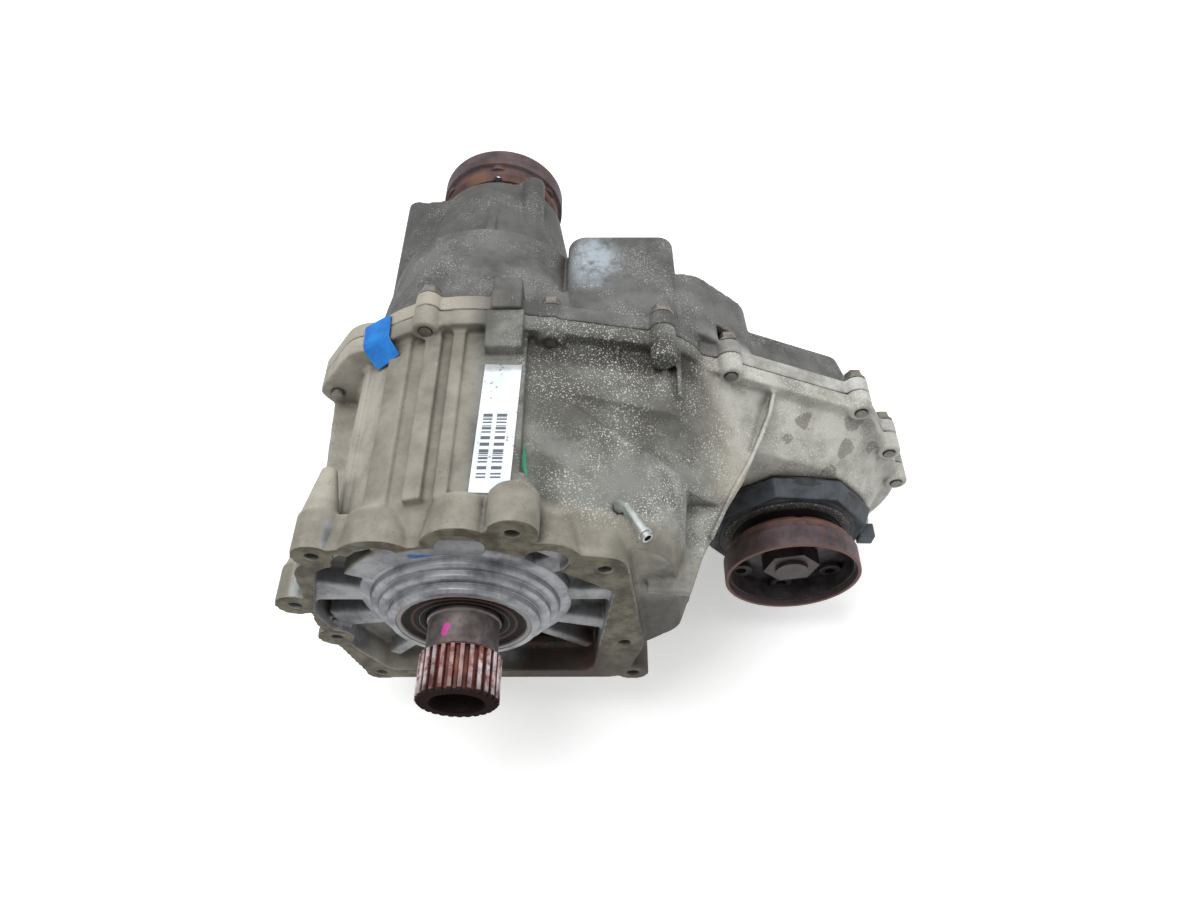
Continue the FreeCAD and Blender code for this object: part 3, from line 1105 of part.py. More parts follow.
rotor = polygon_prism(rotor_points, PUMP_START + 4.3, PUMP_END - 4.3)
rotor_bore = Part.makeCylinder(float(SHAFT_RADIUS), 60, Vector(0, float(PUMP_START) - 10, 0), Vector(0, 1, 0))
nodes["pump_rotor"] = fixed("pump_rotor", rotor.cut(rotor_bore))

strainer_block = Part.makeBox(34, 10, 14, Vector(-17, tube_y - 5, -7))
strainer_block.rotate(Vector(), Vector(0, 1, 0), float(size.output_drop))
strainer_block.translate(Vector(tube_end[0] + 17 * math.cos(DROP), 0, tube_end[1] - 17 * math.sin(DROP)))
nodes["oil_strainer"] = fixed("oil_strainer", strainer_block.common(
    prism(grown(CHAIN_TAIL, -wall - 0.3), 150, float(PUMP_START))).cut(tube))
magnet_block = Part.makeBox(18, 10, 18, Vector(float(OUT_X) - 9, parting - 12, float(OUT_Z) - CHAIN_END[2] - 2))
nodes["sump_magnet"] = fixed("sump_magnet", magnet_block.common(chain_room.Shape))

for i, (name, (x, z)) in enumerate(zip(("fill_plug", "drain_plug"), plug_boss_places)):
    stem = cylinder(name + "_stem", size.plug_radius, size.chain_back - 8, size.chain_back + 5, as_size(x), as_size(z))
    collar = cylinder(name + "_collar", size.plug_radius + 3.5, size.chain_back + 3, size.chain_back + 6,
                      as_size(x), as_size(z))
    key = fixed(name + "_key", hexagon(5, chain_back, chain_back + 7, 0), Placement(Vector(x, 0, z), Rotation()))
    nodes[name] = cut(name, fuse(name + "_blank", stem, collar), key)

def piped(points, radius):
    """Straight lengths joined by balls at the bends."""
    shape = None
    for start, end in zip(points, points[1:]):
        length = Part.makeCylinder(radius, (end - start).Length, start, end - start)
        shape = length if shape is None else shape.fuse(length)
    for corner in points[1:-1]:
        shape = shape.fuse(Part.makeSphere(radius, corner))
    return shape


pipe = float(size.breather_radius)
pipe_path = [Vector(float(PIPE_X), float(PIPE_Y), float(PIPE_FOOT)),
             Vector(float(PIPE_X), float(PIPE_Y), float(PIPE_FOOT) + 15),
             Vector(float(PIPE_X) + 4, float(PIPE_Y) - 4, float(PIPE_FOOT) + 18),
             Vector(float(PIPE_X) + 15, float(PIPE_Y) - 25, float(PIPE_FOOT) + 20)]
tip_way = pipe_path[3] - pipe_path[2]
tip_way.normalize()
bead = Part.makeCylinder(pipe + 0.9, 2, pipe_path[3] - tip_way * 5, tip_way)
pipe_bore = Part.makeCylinder(pipe - 1, 9, pipe_path[3] - tip_way * 8, tip_way)
nodes["breather_pipe"] = fixed("breather_pipe", piped(pipe_path, pipe).fuse(bead).cut(pipe_bore))

LABEL_TURN = -1.6
label = block("label_plate", as_size(9.5), as_size(32), size.adapter_depth + 5, size.parting - 38,
              as_size(PAD_TOP), PAD_TOP + as_size(0.6))
label.Placement.Rotation = Rotation(Vector(0, 0, 1), LABEL_TURN)
nodes["label_plate"] = label


# ---------------------------------------------------------------- checks and files

doc.recompute()
faults = [thing.Name + " is in error" for thing in doc.Objects if {"Invalid", "Error"} & set(thing.State)]
for name, thing in nodes.items():
    thing.Label = name
    if thing.Shape.isNull() or not thing.Shape.isValid() or not thing.Shape.Solids:
        faults.append(name + " has no valid solid")
if faults:
    raise RuntimeError("; ".join(faults))
os.makedirs("parts", exist_ok=True)
for name, thing in nodes.items():
    thing.Shape.exportStep(os.path.join("parts", name + ".step"))
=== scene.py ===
"""The looks of the transfer case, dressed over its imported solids."""
import math

import bmesh
import bpy
from mathutils import Matrix, Vector


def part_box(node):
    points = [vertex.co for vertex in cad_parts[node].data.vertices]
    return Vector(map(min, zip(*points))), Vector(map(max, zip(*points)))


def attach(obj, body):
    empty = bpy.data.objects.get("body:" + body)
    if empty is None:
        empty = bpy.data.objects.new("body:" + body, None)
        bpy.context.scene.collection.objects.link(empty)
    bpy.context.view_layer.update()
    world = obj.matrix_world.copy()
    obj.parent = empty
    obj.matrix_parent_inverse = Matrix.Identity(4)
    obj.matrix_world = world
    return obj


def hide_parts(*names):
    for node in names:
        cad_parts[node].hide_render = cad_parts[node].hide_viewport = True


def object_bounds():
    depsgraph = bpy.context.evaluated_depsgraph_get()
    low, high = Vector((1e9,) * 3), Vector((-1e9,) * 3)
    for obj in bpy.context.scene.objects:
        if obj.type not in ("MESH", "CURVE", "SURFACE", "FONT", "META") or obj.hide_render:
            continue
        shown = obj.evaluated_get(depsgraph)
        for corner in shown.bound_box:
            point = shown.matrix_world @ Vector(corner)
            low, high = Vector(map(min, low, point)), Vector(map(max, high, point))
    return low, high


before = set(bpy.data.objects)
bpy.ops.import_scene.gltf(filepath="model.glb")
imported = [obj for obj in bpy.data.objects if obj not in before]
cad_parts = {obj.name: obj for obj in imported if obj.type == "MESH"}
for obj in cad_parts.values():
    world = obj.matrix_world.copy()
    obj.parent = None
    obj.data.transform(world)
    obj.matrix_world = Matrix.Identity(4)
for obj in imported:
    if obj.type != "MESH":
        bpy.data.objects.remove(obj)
cad_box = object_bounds()

MM = 0.001
CASE = "casing"

# the axis of the side output, across the shafts
SIDE_LOW, SIDE_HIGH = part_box("front_output_flange")
FRONT_AXIS = ((SIDE_LOW[0] + SIDE_HIGH[0]) / 2 / MM, (SIDE_LOW[2] + SIDE_HIGH[2]) / 2 / MM)


# ---------------------------------------------------------------- finishes

def tone(red, green, blue):
    """A colour as it looks on a screen, from 0 to 255 a channel."""
    def linear(value):
        value /= 255
        return value / 12.92 if value < 0.04045 else ((value + 0.055) / 1.055) ** 2.4
    return (linear(red), linear(green), linear(blue), 1.0)


class Finish:
    """A procedural material on Object coordinates."""

    def __init__(self, name):
        self.material = bpy.data.materials.new(name)
        self.material.use_nodes = True
        self.tree = self.material.node_tree
        self.shader = self.tree.nodes["Principled BSDF"]
        self.coords = self.node("ShaderNodeTexCoord").outputs["Object"]
        self.xyz = self.node("ShaderNodeSeparateXYZ", {"Vector": self.coords}).outputs

    def node(self, kind, inputs=None, **settings):
        made = self.tree.nodes.new(kind)
        for key, value in settings.items():
            setattr(made, key, value)
        for key, value in (inputs or {}).items():
            self.feed(made.inputs[key], value)
        return made

    def feed(self, socket, value):
        if isinstance(value, bpy.types.NodeSocket):
            self.tree.links.new(value, socket)
        else:
            socket.default_value = value

    def math(self, operation, first, second=0.0):
        made = self.node("ShaderNodeMath", operation=operation)
        for socket, value in zip(made.inputs, (first, second)):
            self.feed(socket, value)
        return made.outputs[0]

    def times(self, *values):
        """The product of masks, which is 1 only where all of them are."""
        result = values[0]
        for value in values[1:]:
            result = self.math("MULTIPLY", result, value)
        return result

    def plus(self, first, second):
        return self.math("ADD", first, second)

    def minus(self, first, second):
        return self.math("SUBTRACT", first, second)

    def vector(self, operation, inputs, output=0):
        """A sum on directions and places. Its output 0 is a vector, and "Value" a number."""
        return self.node("ShaderNodeVectorMath", inputs, operation=operation).outputs[output]

    def step(self, value, low, high, smooth=True):
        """0 below low and 1 above high, or the other way round when low is the larger."""
        kind = "SMOOTHSTEP" if smooth else "LINEAR"
        turned = low > high
        if turned:
            low, high = high, low
        made = self.node("ShaderNodeMapRange", {"Value": value, "From Min": low, "From Max": high,
                                                "To Min": float(turned), "To Max": float(not turned)},
                         interpolation_type=kind, clamp=True)
        return made.outputs["Result"]

    def noise(self, scale, detail=4.0, roughness=0.6, stretch=None, shift=0.0):
        vector = self.coords
        if stretch or shift:
            vector = self.node("ShaderNodeMapping", {"Vector": vector, "Scale": stretch or (1, 1, 1),
                                                     "Location": (shift, shift, shift)}).outputs[0]
        return self.node("ShaderNodeTexNoise", {"Vector": vector, "Scale": scale, "Detail": detail,
                                                "Roughness": roughness, "Distortion": 0.0}).outputs["Fac"]

    def cells(self, scale):
        return self.node("ShaderNodeTexVoronoi", {"Vector": self.coords, "Scale": scale,
                                                  "Randomness": 1.0}, feature="F1").outputs["Distance"]

    def past(self, value, low, high, smooth=True):
        """As step, with its limits in millimetres."""
        return self.step(value, low * MM, high * MM, smooth)

    def between(self, axis, low, high, soft):
        """1 between low and high millimetres along an axis."""
        value = self.xyz[axis]
        rise = self.past(value, low - soft, low + soft)
        return self.times(rise, self.past(value, high + soft, high - soft))

    def mix(self, under, over, amount):
        made = self.node("ShaderNodeMix", {"Factor": amount}, data_type="RGBA", clamp_factor=True)
        self.feed(made.inputs[6], under)
        self.feed(made.inputs[7], over)
        return made.outputs[2]

    def hollow(self, reach):
        """1 where the surface lies in a recess or corner, looked for within reach millimetres."""
        nearby = self.node("ShaderNodeAmbientOcclusion", {"Distance": reach * MM}, samples=6)
        return self.step(nearby.outputs["AO"], 0.82, 0.35)

    def edge(self, radius):
        """1 along outward and inward edges, radius in millimetres."""
        flat = self.node("ShaderNodeNewGeometry").outputs["Normal"]
        same = self.vector("DOT_PRODUCT", {0: self.rounded(radius), 1: flat}, "Value")
        return self.step(same, 0.985, 0.8)

    def rounded(self, radius):
        """The surface's direction with its edges rounded, radius in millimetres."""
        return self.node("ShaderNodeBevel", {"Radius": radius * MM}, samples=4).outputs["Normal"]

    def bump(self, height, distance, strength=1.0, under=None):
        inputs = {"Height": height, "Distance": distance, "Strength": strength}
        if under is not None:
            inputs["Normal"] = under
        return self.node("ShaderNodeBump", inputs).outputs["Normal"]

    def done(self, color, roughness=0.6, metallic=0.0, normal=None, specular=0.5):
        self.feed(self.shader.inputs["Base Color"], color)
        self.feed(self.shader.inputs["Roughness"], roughness)
        self.feed(self.shader.inputs["Metallic"], metallic)
        self.feed(self.shader.inputs["Specular IOR Level"], specular)
        if normal is not None:
            self.feed(self.shader.inputs["Normal"], normal)
        return self.material


def blotches(f, scale, low, high, shift=0.0):
    """Soft patches: 0 where a broad noise is below low, 1 where it is above high."""
    return f.step(f.noise(scale, 5.0, 0.65, shift=shift), low, high)


def mottled(f, under, over, scale, low, high, shift=0.0):
    """One shade in soft patches on another."""
    return f.mix(tone(*under), tone(*over), blotches(f, scale, low, high, shift))


def specks(f, scale, size, density, shift=0.0):
    """Small round specks, thinned out by a broader noise."""
    dots = f.step(f.cells(scale), size, size * 0.45)
    where = f.step(f.noise(scale * 0.21, 3.0, 0.6, shift=shift), 1.0 - density, 1.08 - density)
    return f.times(dots, where)


def salt(f, color, amount, density, shift, where=None, shade=(214, 214, 209)):
    """Fine pale grains of corroded aluminium, gathered in places."""
    grains = f.step(f.noise(980, 1.0, 0.4, shift=shift), 0.585, 0.66)
    gathered = f.step(f.noise(34, 4.0, 0.65, shift=shift + 3.0), 0.72 - density, 1.02 - density)
    spots = f.times(grains, gathered, amount)
    if where is not None:
        spots = f.times(spots, where)
    return f.mix(color, tone(*shade), spots)


def cast_skin(f, color, lumps_depth=0.5):
    """What both halves share: dirt in corners, painted shade in broad recesses, dark pits, worn edges and
    the sand-cast skin.
    """
    recess_dark = f.times(f.hollow(8), blotches(f, 60, 0.25, 0.6))
    color = f.mix(color, tone(54, 47, 38), f.times(recess_dark, 0.78))
    # painted shade: an even darkening in broad recesses and corners
    color = f.mix(color, tone(58, 54, 48), f.times(f.hollow(26), 0.42))
    color = f.mix(color, tone(70, 64, 54), f.times(specks(f, 430, 0.26, 0.46), 0.6))
    color = f.mix(color, tone(60, 55, 46), f.times(specks(f, 130, 0.16, 0.34, 21.0), 0.7))
    worn = f.times(f.edge(1.2), blotches(f, 120, 0.3, 0.6))
    color = f.mix(color, tone(206, 203, 194), f.times(worn, 0.45))
    grain = f.noise(700, 5.0, 0.75)
    lumps = f.noise(120, 4.0, 0.6)
    scars = f.noise(260, 3.0, 0.5, stretch=(1.0, 0.25, 1.0))
    height = f.plus(f.times(grain, 0.3),
                    f.plus(f.times(lumps, 0.5), f.times(scars, 0.2)))
    normal = f.bump(height, lumps_depth * MM, 0.6,
                    f.rounded(1.2))
    rough = f.plus(0.46, f.times(lumps, 0.3))
    return color, rough, normal


def away_from_axis(f, x=0.0, z=0.0):
    """Distance in metres from a line along Y."""
    across = {"X": f.minus(f.xyz[0], x * MM), "Z": f.minus(f.xyz[2], z * MM)}
    return f.vector("LENGTH", {0: f.node("ShaderNodeCombineXYZ", across).outputs[0]}, "Value")


def marked(f, color, shade, strokes):
    """Strokes of marking paint: each a line between two points, with its half width."""
    ragged = f.times(f.minus(f.noise(380, 3.0), 0.5), 2.4 * MM)
    for start, end, half in strokes:
        first, last = Vector(start) * MM, Vector(end) * MM
        way = last - first
        from_first = f.vector("SUBTRACT", {0: f.coords, 1: tuple(first)})
        along = f.vector("DOT_PRODUCT", {0: from_first, 1: tuple(way / way.length_squared)}, "Value")
        along = f.math("MINIMUM", f.math("MAXIMUM", along, 0.0), 1.0)
        foot = f.vector("SCALE", {0: tuple(way), "Scale": along})
        off = f.vector("DISTANCE", {0: from_first, 1: foot}, "Value")
        touched = f.step(f.plus(off, ragged), half * MM, half * 0.75 * MM)
        color = f.mix(color, tone(*shade), f.times(touched, 0.85))
    return color


# round oil stains on the chain case, each with its place and reach, and how far their edges wander
STAIN_WANDER = 9
STAINS = (((262, 150, -6), 9), ((262, 132, -18), 10), ((226, 138, 8), 8), ((284, 146, -36), 7),
          ((246, 120, -30), 7), ((214, 128, 0), 5))


# strokes of marking paint, each between two points with its half width
GREEN_STROKES = (((42, 34, 80), (38, 58, 80), 1.3), ((39, 58, 80), (37.5, 66, 80), 0.8))
BLUE_STROKES = (((-24, 4, 58), (-12, 4, 57), 2.6), ((-14, 4, 55), (-8, 5, 54), 2.0))
PINK_STROKES = (((-8, -24, 20.5), (-7, -20, 21), 2.6),)


def cast_front():
    f = Finish("cast_front")
    x, y, z = f.xyz
    # the left of the barrel is pale, the top grey, the chain case washed clean
    color = mottled(f, (168, 164, 153), (132, 128, 118), 30, 0.35, 0.7)
    ribbed = f.times(f.between(0, -56, 6, 6), f.past(z, 58, 76), f.between(1, 28, 168, 8))
    color = f.mix(color, mottled(f, (146, 142, 131), (108, 104, 95), 36, 0.3, 0.7),
                  f.times(ribbed, 0.8))
    top = f.times(f.past(x, -2, 12), f.past(x, 172, 134), f.past(z, 8, 34),
                   f.between(1, 27, 172, 6))
    color = f.mix(color, mottled(f, (122, 123, 118), (84, 84, 79), 22, 0.38, 0.62, 3.0), top)
    # dirt and painted shade along the crease of the valley
    valley = f.times(f.between(1, 82, 132, 16), f.past(x, 30, 70), f.past(x, 168, 140),
                      f.past(z, 8, 30))
    color = f.mix(color, tone(84, 82, 76), f.times(valley, f.plus(0.2, f.times(
        blotches(f, 40, 0.35, 0.65, shift=9.0), 0.45))))
    # painted shadow between the joint flange and the front box
    painted_shadow = f.times(f.between(1, 132, 150, 6), f.past(x, 20, 46), f.past(x, 160, 140))
    color = f.mix(color, tone(48, 46, 42), f.times(painted_shadow, 0.72))
    washed = mottled(f, (186, 185, 178), (142, 140, 132), 34, 0.35, 0.7, 7.0)
    color = f.mix(color, washed, f.past(f.plus(x, f.times(y, 0.35)), 196, 224))
    # the fin and the side that it shades
    fin = f.times(f.past(y, 74, 60), f.past(x, 104, 122), f.past(x, 196, 176))
    color = f.mix(color, mottled(f, (152, 153, 149), (92, 92, 88), 44, 0.35, 0.65, 19.0),
                  f.times(fin, 0.8))
    # the neck of the side output is made near black
    neck = f.times(f.past(away_from_axis(f, *FRONT_AXIS), 72, 62), f.past(y, 124, 116))
    color = f.mix(color, tone(44, 44, 46), f.times(neck, 0.92))
    # round oil stains on the chain case
    ragged = f.node("ShaderNodeTexNoise", {"Vector": f.coords, "Scale": 90.0}).outputs["Color"]
    wander = f.vector("ADD", {0: f.coords, 1: f.vector("SCALE", {0: ragged, "Scale": STAIN_WANDER * MM})})
    for spot, reach in STAINS:
        middle = tuple((along + STAIN_WANDER / 2) * MM for along in spot)
        away = f.vector("DISTANCE", {0: wander, 1: middle}, "Value")
        color = f.mix(color, tone(98, 93, 82), f.times(f.step(away, reach * MM, reach * 0.82 * MM), 0.6))
    # inside the adapter the metal is clean
    silver = mottled(f, (168, 170, 172), (104, 106, 108), 46, 0.3, 0.75, 5.0)
    inside = f.times(f.past(y, 21, 18), f.past(away_from_axis(f), 96, 74))
    recess = f.times(f.past(y, 20, 17), f.past(y, 0.6, 1.6))
    outwards = f.vector("NORMALIZE", {0: f.node("ShaderNodeCombineXYZ", {"X": x, "Z": z}).outputs[0]})
    facing = f.node("ShaderNodeNewGeometry").outputs["Normal"]
    faces_out = f.vector("DOT_PRODUCT", {0: facing, 1: outwards}, "Value")
    rim_side = f.times(f.step(faces_out, 0.1, 0.4), f.past(away_from_axis(f), 72, 76))
    silvered = f.math("MAXIMUM", inside, f.times(recess, f.past(away_from_axis(f), 112, 100)))
    silvered = f.times(silvered, f.minus(1.0, rim_side))
    color = f.mix(color, silver, silvered)
    nose = f.times(f.past(y, 0, -3), f.past(away_from_axis(f), 47, 45))
    color = f.mix(color, tone(150, 146, 144), nose)
    band = f.times(rim_side, f.past(y, 27, 22))
    color = f.mix(color, mottled(f, (140, 136, 125), (104, 101, 91), 44, 0.35, 0.65, 23.0),
                  f.times(band, 0.75))
    # painted shade under the fin, between the adapter and the side output
    painted_underside_shade = f.times(f.past(x, 88, 102), f.past(x, 176, 150), f.past(z, 8, -16),
                      f.past(y, 84, 50))
    color = f.mix(color, tone(62, 58, 53), f.times(painted_underside_shade, 0.75))
    # the gasket face is stained olive and brown
    face = f.times(f.past(y, 0.5, 0.2), f.past(away_from_axis(f), 74, 78))
    color = f.mix(color, mottled(f, (112, 108, 92), (64, 58, 46), 70, 0.35, 0.65, 6.0), face)
    # dark rust and mud at the lower right of the recess
    low = f.times(f.past(x, 8, 34), f.past(z, -50, -70), f.past(x, 92, 78),
                   f.past(y, 40, 20))
    mud = mottled(f, (30, 23, 21), (66, 38, 30), 60, 0.4, 0.65, 13.0)
    color = f.mix(color, mud, f.times(low, 0.93))
    under = f.times(f.past(z, -40, -86), f.past(y, 12, 2), f.past(x, -58, -20))
    color = f.mix(color, tone(58, 50, 42), f.times(under, 0.55))
    color = salt(f, color, 0.72, 0.4, 11.0, f.times(f.past(x, 8, 60), f.past(y, 14, 30)))
    color, rough, normal = cast_skin(f, color, 0.55)
    color = marked(f, color, (30, 150, 110), GREEN_STROKES)
    color = marked(f, color, (40, 110, 190), BLUE_STROKES)
    return f.done(color, rough, f.times(silvered, 0.45), normal, 0.3)


SMEAR_MIDDLE = (0.078, 0.236, 0.066)
SMEAR_SCALE = (1.5, 1.0, 0.6)


def cast_rear():
    f = Finish("cast_rear")
    x, y, z = f.xyz
    color = mottled(f, (108, 108, 107), (78, 78, 77), 26, 0.35, 0.68)
    color = f.mix(color, tone(76, 75, 73), f.times(f.past(y, 235, 300), 0.5))
    flange = f.times(f.past(y, 177, 173), f.past(x, 30, -20))
    color = f.mix(color, tone(178, 172, 158), f.times(flange, 0.75))
    chain = f.times(f.past(x, 138, 196), f.past(y, 186, 174))
    color = f.mix(color, mottled(f, (200, 200, 197), (150, 147, 139), 40, 0.35, 0.7),
                  f.times(chain, 0.85))
    # a bluish smear where the marking was wiped
    centred = f.node("ShaderNodeMapping", {"Vector": f.coords, "Scale": SMEAR_SCALE, "Location": tuple(
        -middle * scale for middle, scale in zip(SMEAR_MIDDLE, SMEAR_SCALE))}).outputs[0]
    off_middle = f.vector("LENGTH", {0: centred}, "Value")
    smear = f.times(f.past(off_middle, 36, 12), blotches(f, 70, 0.3, 0.6, 17.0))
    color = f.mix(color, tone(184, 197, 206), f.times(smear, 0.62))
    color = salt(f, color, 0.55, 0.3, 9.0)
    color, rough, normal = cast_skin(f, color, 0.5)
    return f.done(color, f.plus(rough, 0.04), 0.1, normal, 0.25)


def steel(name, base, other, recess_dark, roughness, metallic=0.85, rust=0.0, scale=80):
    f = Finish(name)
    color = mottled(f, base, other, scale, 0.35, 0.7)
    if rust:
        pale_rust = f.times(blotches(f, scale * 1.6, 0.42, 0.62, 4.0), rust)
        dark_rust = f.times(blotches(f, scale * 3, 0.5, 0.66, 8.0), rust)
        color = f.mix(f.mix(color, tone(124, 66, 42), pale_rust), tone(74, 36, 26), dark_rust)
    # grime and painted shade in recesses, such as the dark lines between the nose rings
    hollow = f.times(f.hollow(5), 0.8)
    color = f.mix(color, tone(*recess_dark), hollow)
    fine = f.noise(1100, 4.0, 0.65)
    normal = f.bump(fine, 0.12 * MM, 0.5, f.rounded(0.4))
    rough = f.plus(roughness, f.times(f.noise(150, 4.0), 0.2))
    return f.done(color, rough, metallic, normal)


def soft(name, base, other, roughness, scale=90, bump=0.15):
    f = Finish(name)
    color = mottled(f, base, other, scale, 0.3, 0.7)
    normal = f.bump(f.noise(700, 4.0, 0.6), bump * MM, 0.6)
    return f.done(color, f.plus(roughness, f.times(f.noise(200), 0.15)), 0.0, normal)


def splined():
    f = Finish("splined_end")
    x, y, z = f.xyz
    away = away_from_axis(f)
    color = mottled(f, (146, 88, 78), (92, 50, 42), 90, 0.35, 0.65)
    # painted highlight: the crests of the spline teeth made near white, most at the sides
    crest = f.times(f.past(away, 23.3, 24.1), f.past(y, -30, -33))
    sides = f.plus(0.3, f.times(f.past(f.math("ABSOLUTE", x), 4, 18), 0.7))
    color = f.mix(color, tone(222, 214, 218), f.times(crest, blotches(f, 130, 0.34, 0.6), sides))
    color = f.mix(color, tone(62, 34, 34), f.times(f.past(y, -46, -57), 0.55))
    journal = f.past(y, -31.5, -29.5)
    color = f.mix(color, mottled(f, (128, 120, 118), (84, 76, 76), 60, 0.35, 0.65), journal)
    end = f.past(y, -57.0, -57.8)
    color = f.mix(color, tone(50, 40, 40), end)
    color = f.mix(color, tone(40, 32, 32), f.past(away, 16.8, 16.2))
    color = f.mix(color, tone(42, 28, 26), f.times(f.hollow(3), 0.7))
    color = marked(f, color, (222, 84, 176), PINK_STROKES)
    turned_lines = f.noise(900, 3.0, stretch=(0.05, 1.0, 0.05))
    height = f.plus(f.times(turned_lines, 0.5), f.times(f.noise(800, 4.0), 0.5))
    normal = f.bump(height, 0.12 * MM, 0.6, f.rounded(0.4))
    metal = f.times(f.minus(1.0, end), 0.5)
    return f.done(color, f.plus(0.34, f.times(f.noise(150, 4.0), 0.25)), metal, normal,
                  f.times(metal, 0.7))


# rings seen on the seal: inner and outer radius, and shade
SEAL_RINGS = ((35.6, 37.6, (54, 44, 42)), (30.4, 32.4, (92, 62, 52)), (26.6, 27.4, (112, 106, 106)))


def ringed_seal():
    """The seal at the input, seen as dark and copper-brown rings."""
    f = Finish("ringed_seal")
    away = away_from_axis(f)
    color = tone(15, 13, 13)
    for inner, outer, shade in SEAL_RINGS:
        ring = f.times(f.past(away, inner, inner + 0.3), f.past(away, outer, outer - 0.3))
        color = f.mix(color, tone(*shade), f.times(ring, 0.9))
    normal = f.bump(f.noise(700, 4.0, 0.6), 0.1 * MM, 0.6)
    return f.done(color, f.plus(0.5, f.times(f.noise(200), 0.15)), 0.0, normal, 0.08)


def cup(name, x, z, rim, facing):
    """A drive flange: rusty rim, dark band, brown hub and greasy inside."""
    f = Finish(name)
    away = away_from_axis(f, x, z)
    depth = f.times(f.minus(rim * MM, f.xyz[1]), facing)
    color = mottled(f, (96, 82, 85), (62, 52, 56), 48, 0.35, 0.68)
    color = f.mix(color, tone(112, 68, 54), f.times(blotches(f, 90, 0.5, 0.68, shift=4.0), 0.4))
    edge_ring = f.times(f.past(away, 46, 47.5), f.past(depth, 2, 0.4))
    color = f.mix(color, tone(112, 78, 66), f.times(edge_ring, 0.55))
    hub = f.past(depth, 17, 22)
    color = f.mix(color, mottled(f, (120, 86, 72), (84, 66, 66), 60, 0.35, 0.65),
                  f.times(hub, f.past(away, 49, 45.8)))
    greasy = f.times(f.past(away, 46, 45.3), f.past(depth, 0.5, 3))
    inner = f.times(greasy, f.past(depth, 23, 21))
    color = f.mix(color, mottled(f, (72, 69, 70), (36, 34, 36), 90, 0.35, 0.65), inner)
    color = f.mix(color, tone(24, 20, 20), f.times(f.hollow(6), 0.7))
    height = f.plus(f.times(f.noise(620, 5.0, 0.7), 0.6), f.times(f.noise(140), 0.4))
    normal = f.bump(height, 0.25 * MM, 0.6, f.rounded(0.6))
    rough = f.mix((0.55, 0.55, 0.55, 1), (0.3, 0.3, 0.3, 1), inner)
    return f.done(color, f.plus(rough, f.times(f.noise(160), 0.15)), 0.35, normal)


LABEL_TURN = 0.0279
BAR_COLUMNS = ((11.5, 17), (19.5, 25.5))


def label_sheet():
    """A white label with plain bars."""
    f = Finish("label_sheet")
    x, y, z = f.xyz
    color = mottled(f, (226, 234, 240), (206, 214, 222), 60, 0.35, 0.7)
    turned_x = f.minus(x, f.times(y, LABEL_TURN))
    bars = f.step(f.noise(430, 1.0, 0.3, stretch=(0.0, 1.0, 0.0), shift=2.0), 0.49, 0.51, smooth=False)
    for low, high in BAR_COLUMNS:
        column = f.times(f.past(turned_x, low, low + 0.3, False), f.past(turned_x, high + 0.3, high, False))
        reach = f.times(f.past(y, 38, 38.4, False), f.past(y, 84.4, 84, False))
        color = f.mix(color, tone(44, 46, 58), f.times(column, reach, bars, 0.9))
    dust = specks(f, 300, 0.3, 0.52)
    color = f.mix(color, tone(96, 84, 76), f.times(dust, 0.7))
    grime = f.times(f.past(f.plus(y, f.times(f.noise(120), 8 * MM)), 118, 124), 0.5)
    color = f.mix(color, tone(90, 80, 66), grime)
    return f.done(color, f.plus(0.3, f.times(f.noise(300), 0.2)), 0.0,
                  f.bump(f.noise(500, 3.0), 0.05 * MM, 0.5))


BARE_STEEL = steel("bare_steel", (168, 166, 162), (120, 116, 110), (40, 34, 30), 0.3)
BOLT_STEEL = steel("bolt_steel", (138, 136, 130), (92, 89, 83), (40, 34, 28), 0.42, 0.6, rust=0.12)
NUT_STEEL = steel("greasy_nut", (50, 47, 47), (30, 28, 29), (14, 12, 12), 0.42, 0.0, rust=0.12)
RACE_STEEL = steel("race_steel", (120, 120, 122), (78, 78, 80), (14, 11, 10), 0.25)
SPLINE_STEEL = splined()
FRONT_FLANGE = cup("front_flange_steel", *FRONT_AXIS, SIDE_LOW[1] / MM, -1)
REAR_FLANGE = cup("rear_flange_steel", 0, 0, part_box("rear_output_flange")[1][1] / MM, 1)
DARK_SHIELD = soft("dark_shield", (62, 64, 68), (34, 34, 36), 0.55)
GUARD = soft("guard_slate", (72, 78, 86), (38, 40, 44), 0.5, scale=60)
SEAL_RUBBER = soft("seal_rubber", (34, 31, 29), (20, 18, 18), 0.45)
BRASS = steel("cage_brass", (150, 118, 64), (104, 78, 42), (30, 22, 12), 0.35)
ZINC = steel("zinc_plate", (196, 202, 200), (150, 154, 148), (70, 66, 56), 0.28)
SEALANT = soft("sealant_bead", (74, 76, 82), (40, 42, 48), 0.45)
LABEL = label_sheet()
DARK_PLASTIC = soft("dark_plastic", (34, 34, 34), (24, 24, 24), 0.5)
NOSE_SILVER = steel("nose_silver", (164, 166, 170), (98, 100, 104), (34, 30, 28), 0.34, 0.5, scale=50)
TAPE_BLUE = soft("blue_tape", (8, 124, 206), (4, 96, 178), 0.42, bump=0.06)
CAST_FRONT = cast_front()
CAST_REAR = cast_rear()

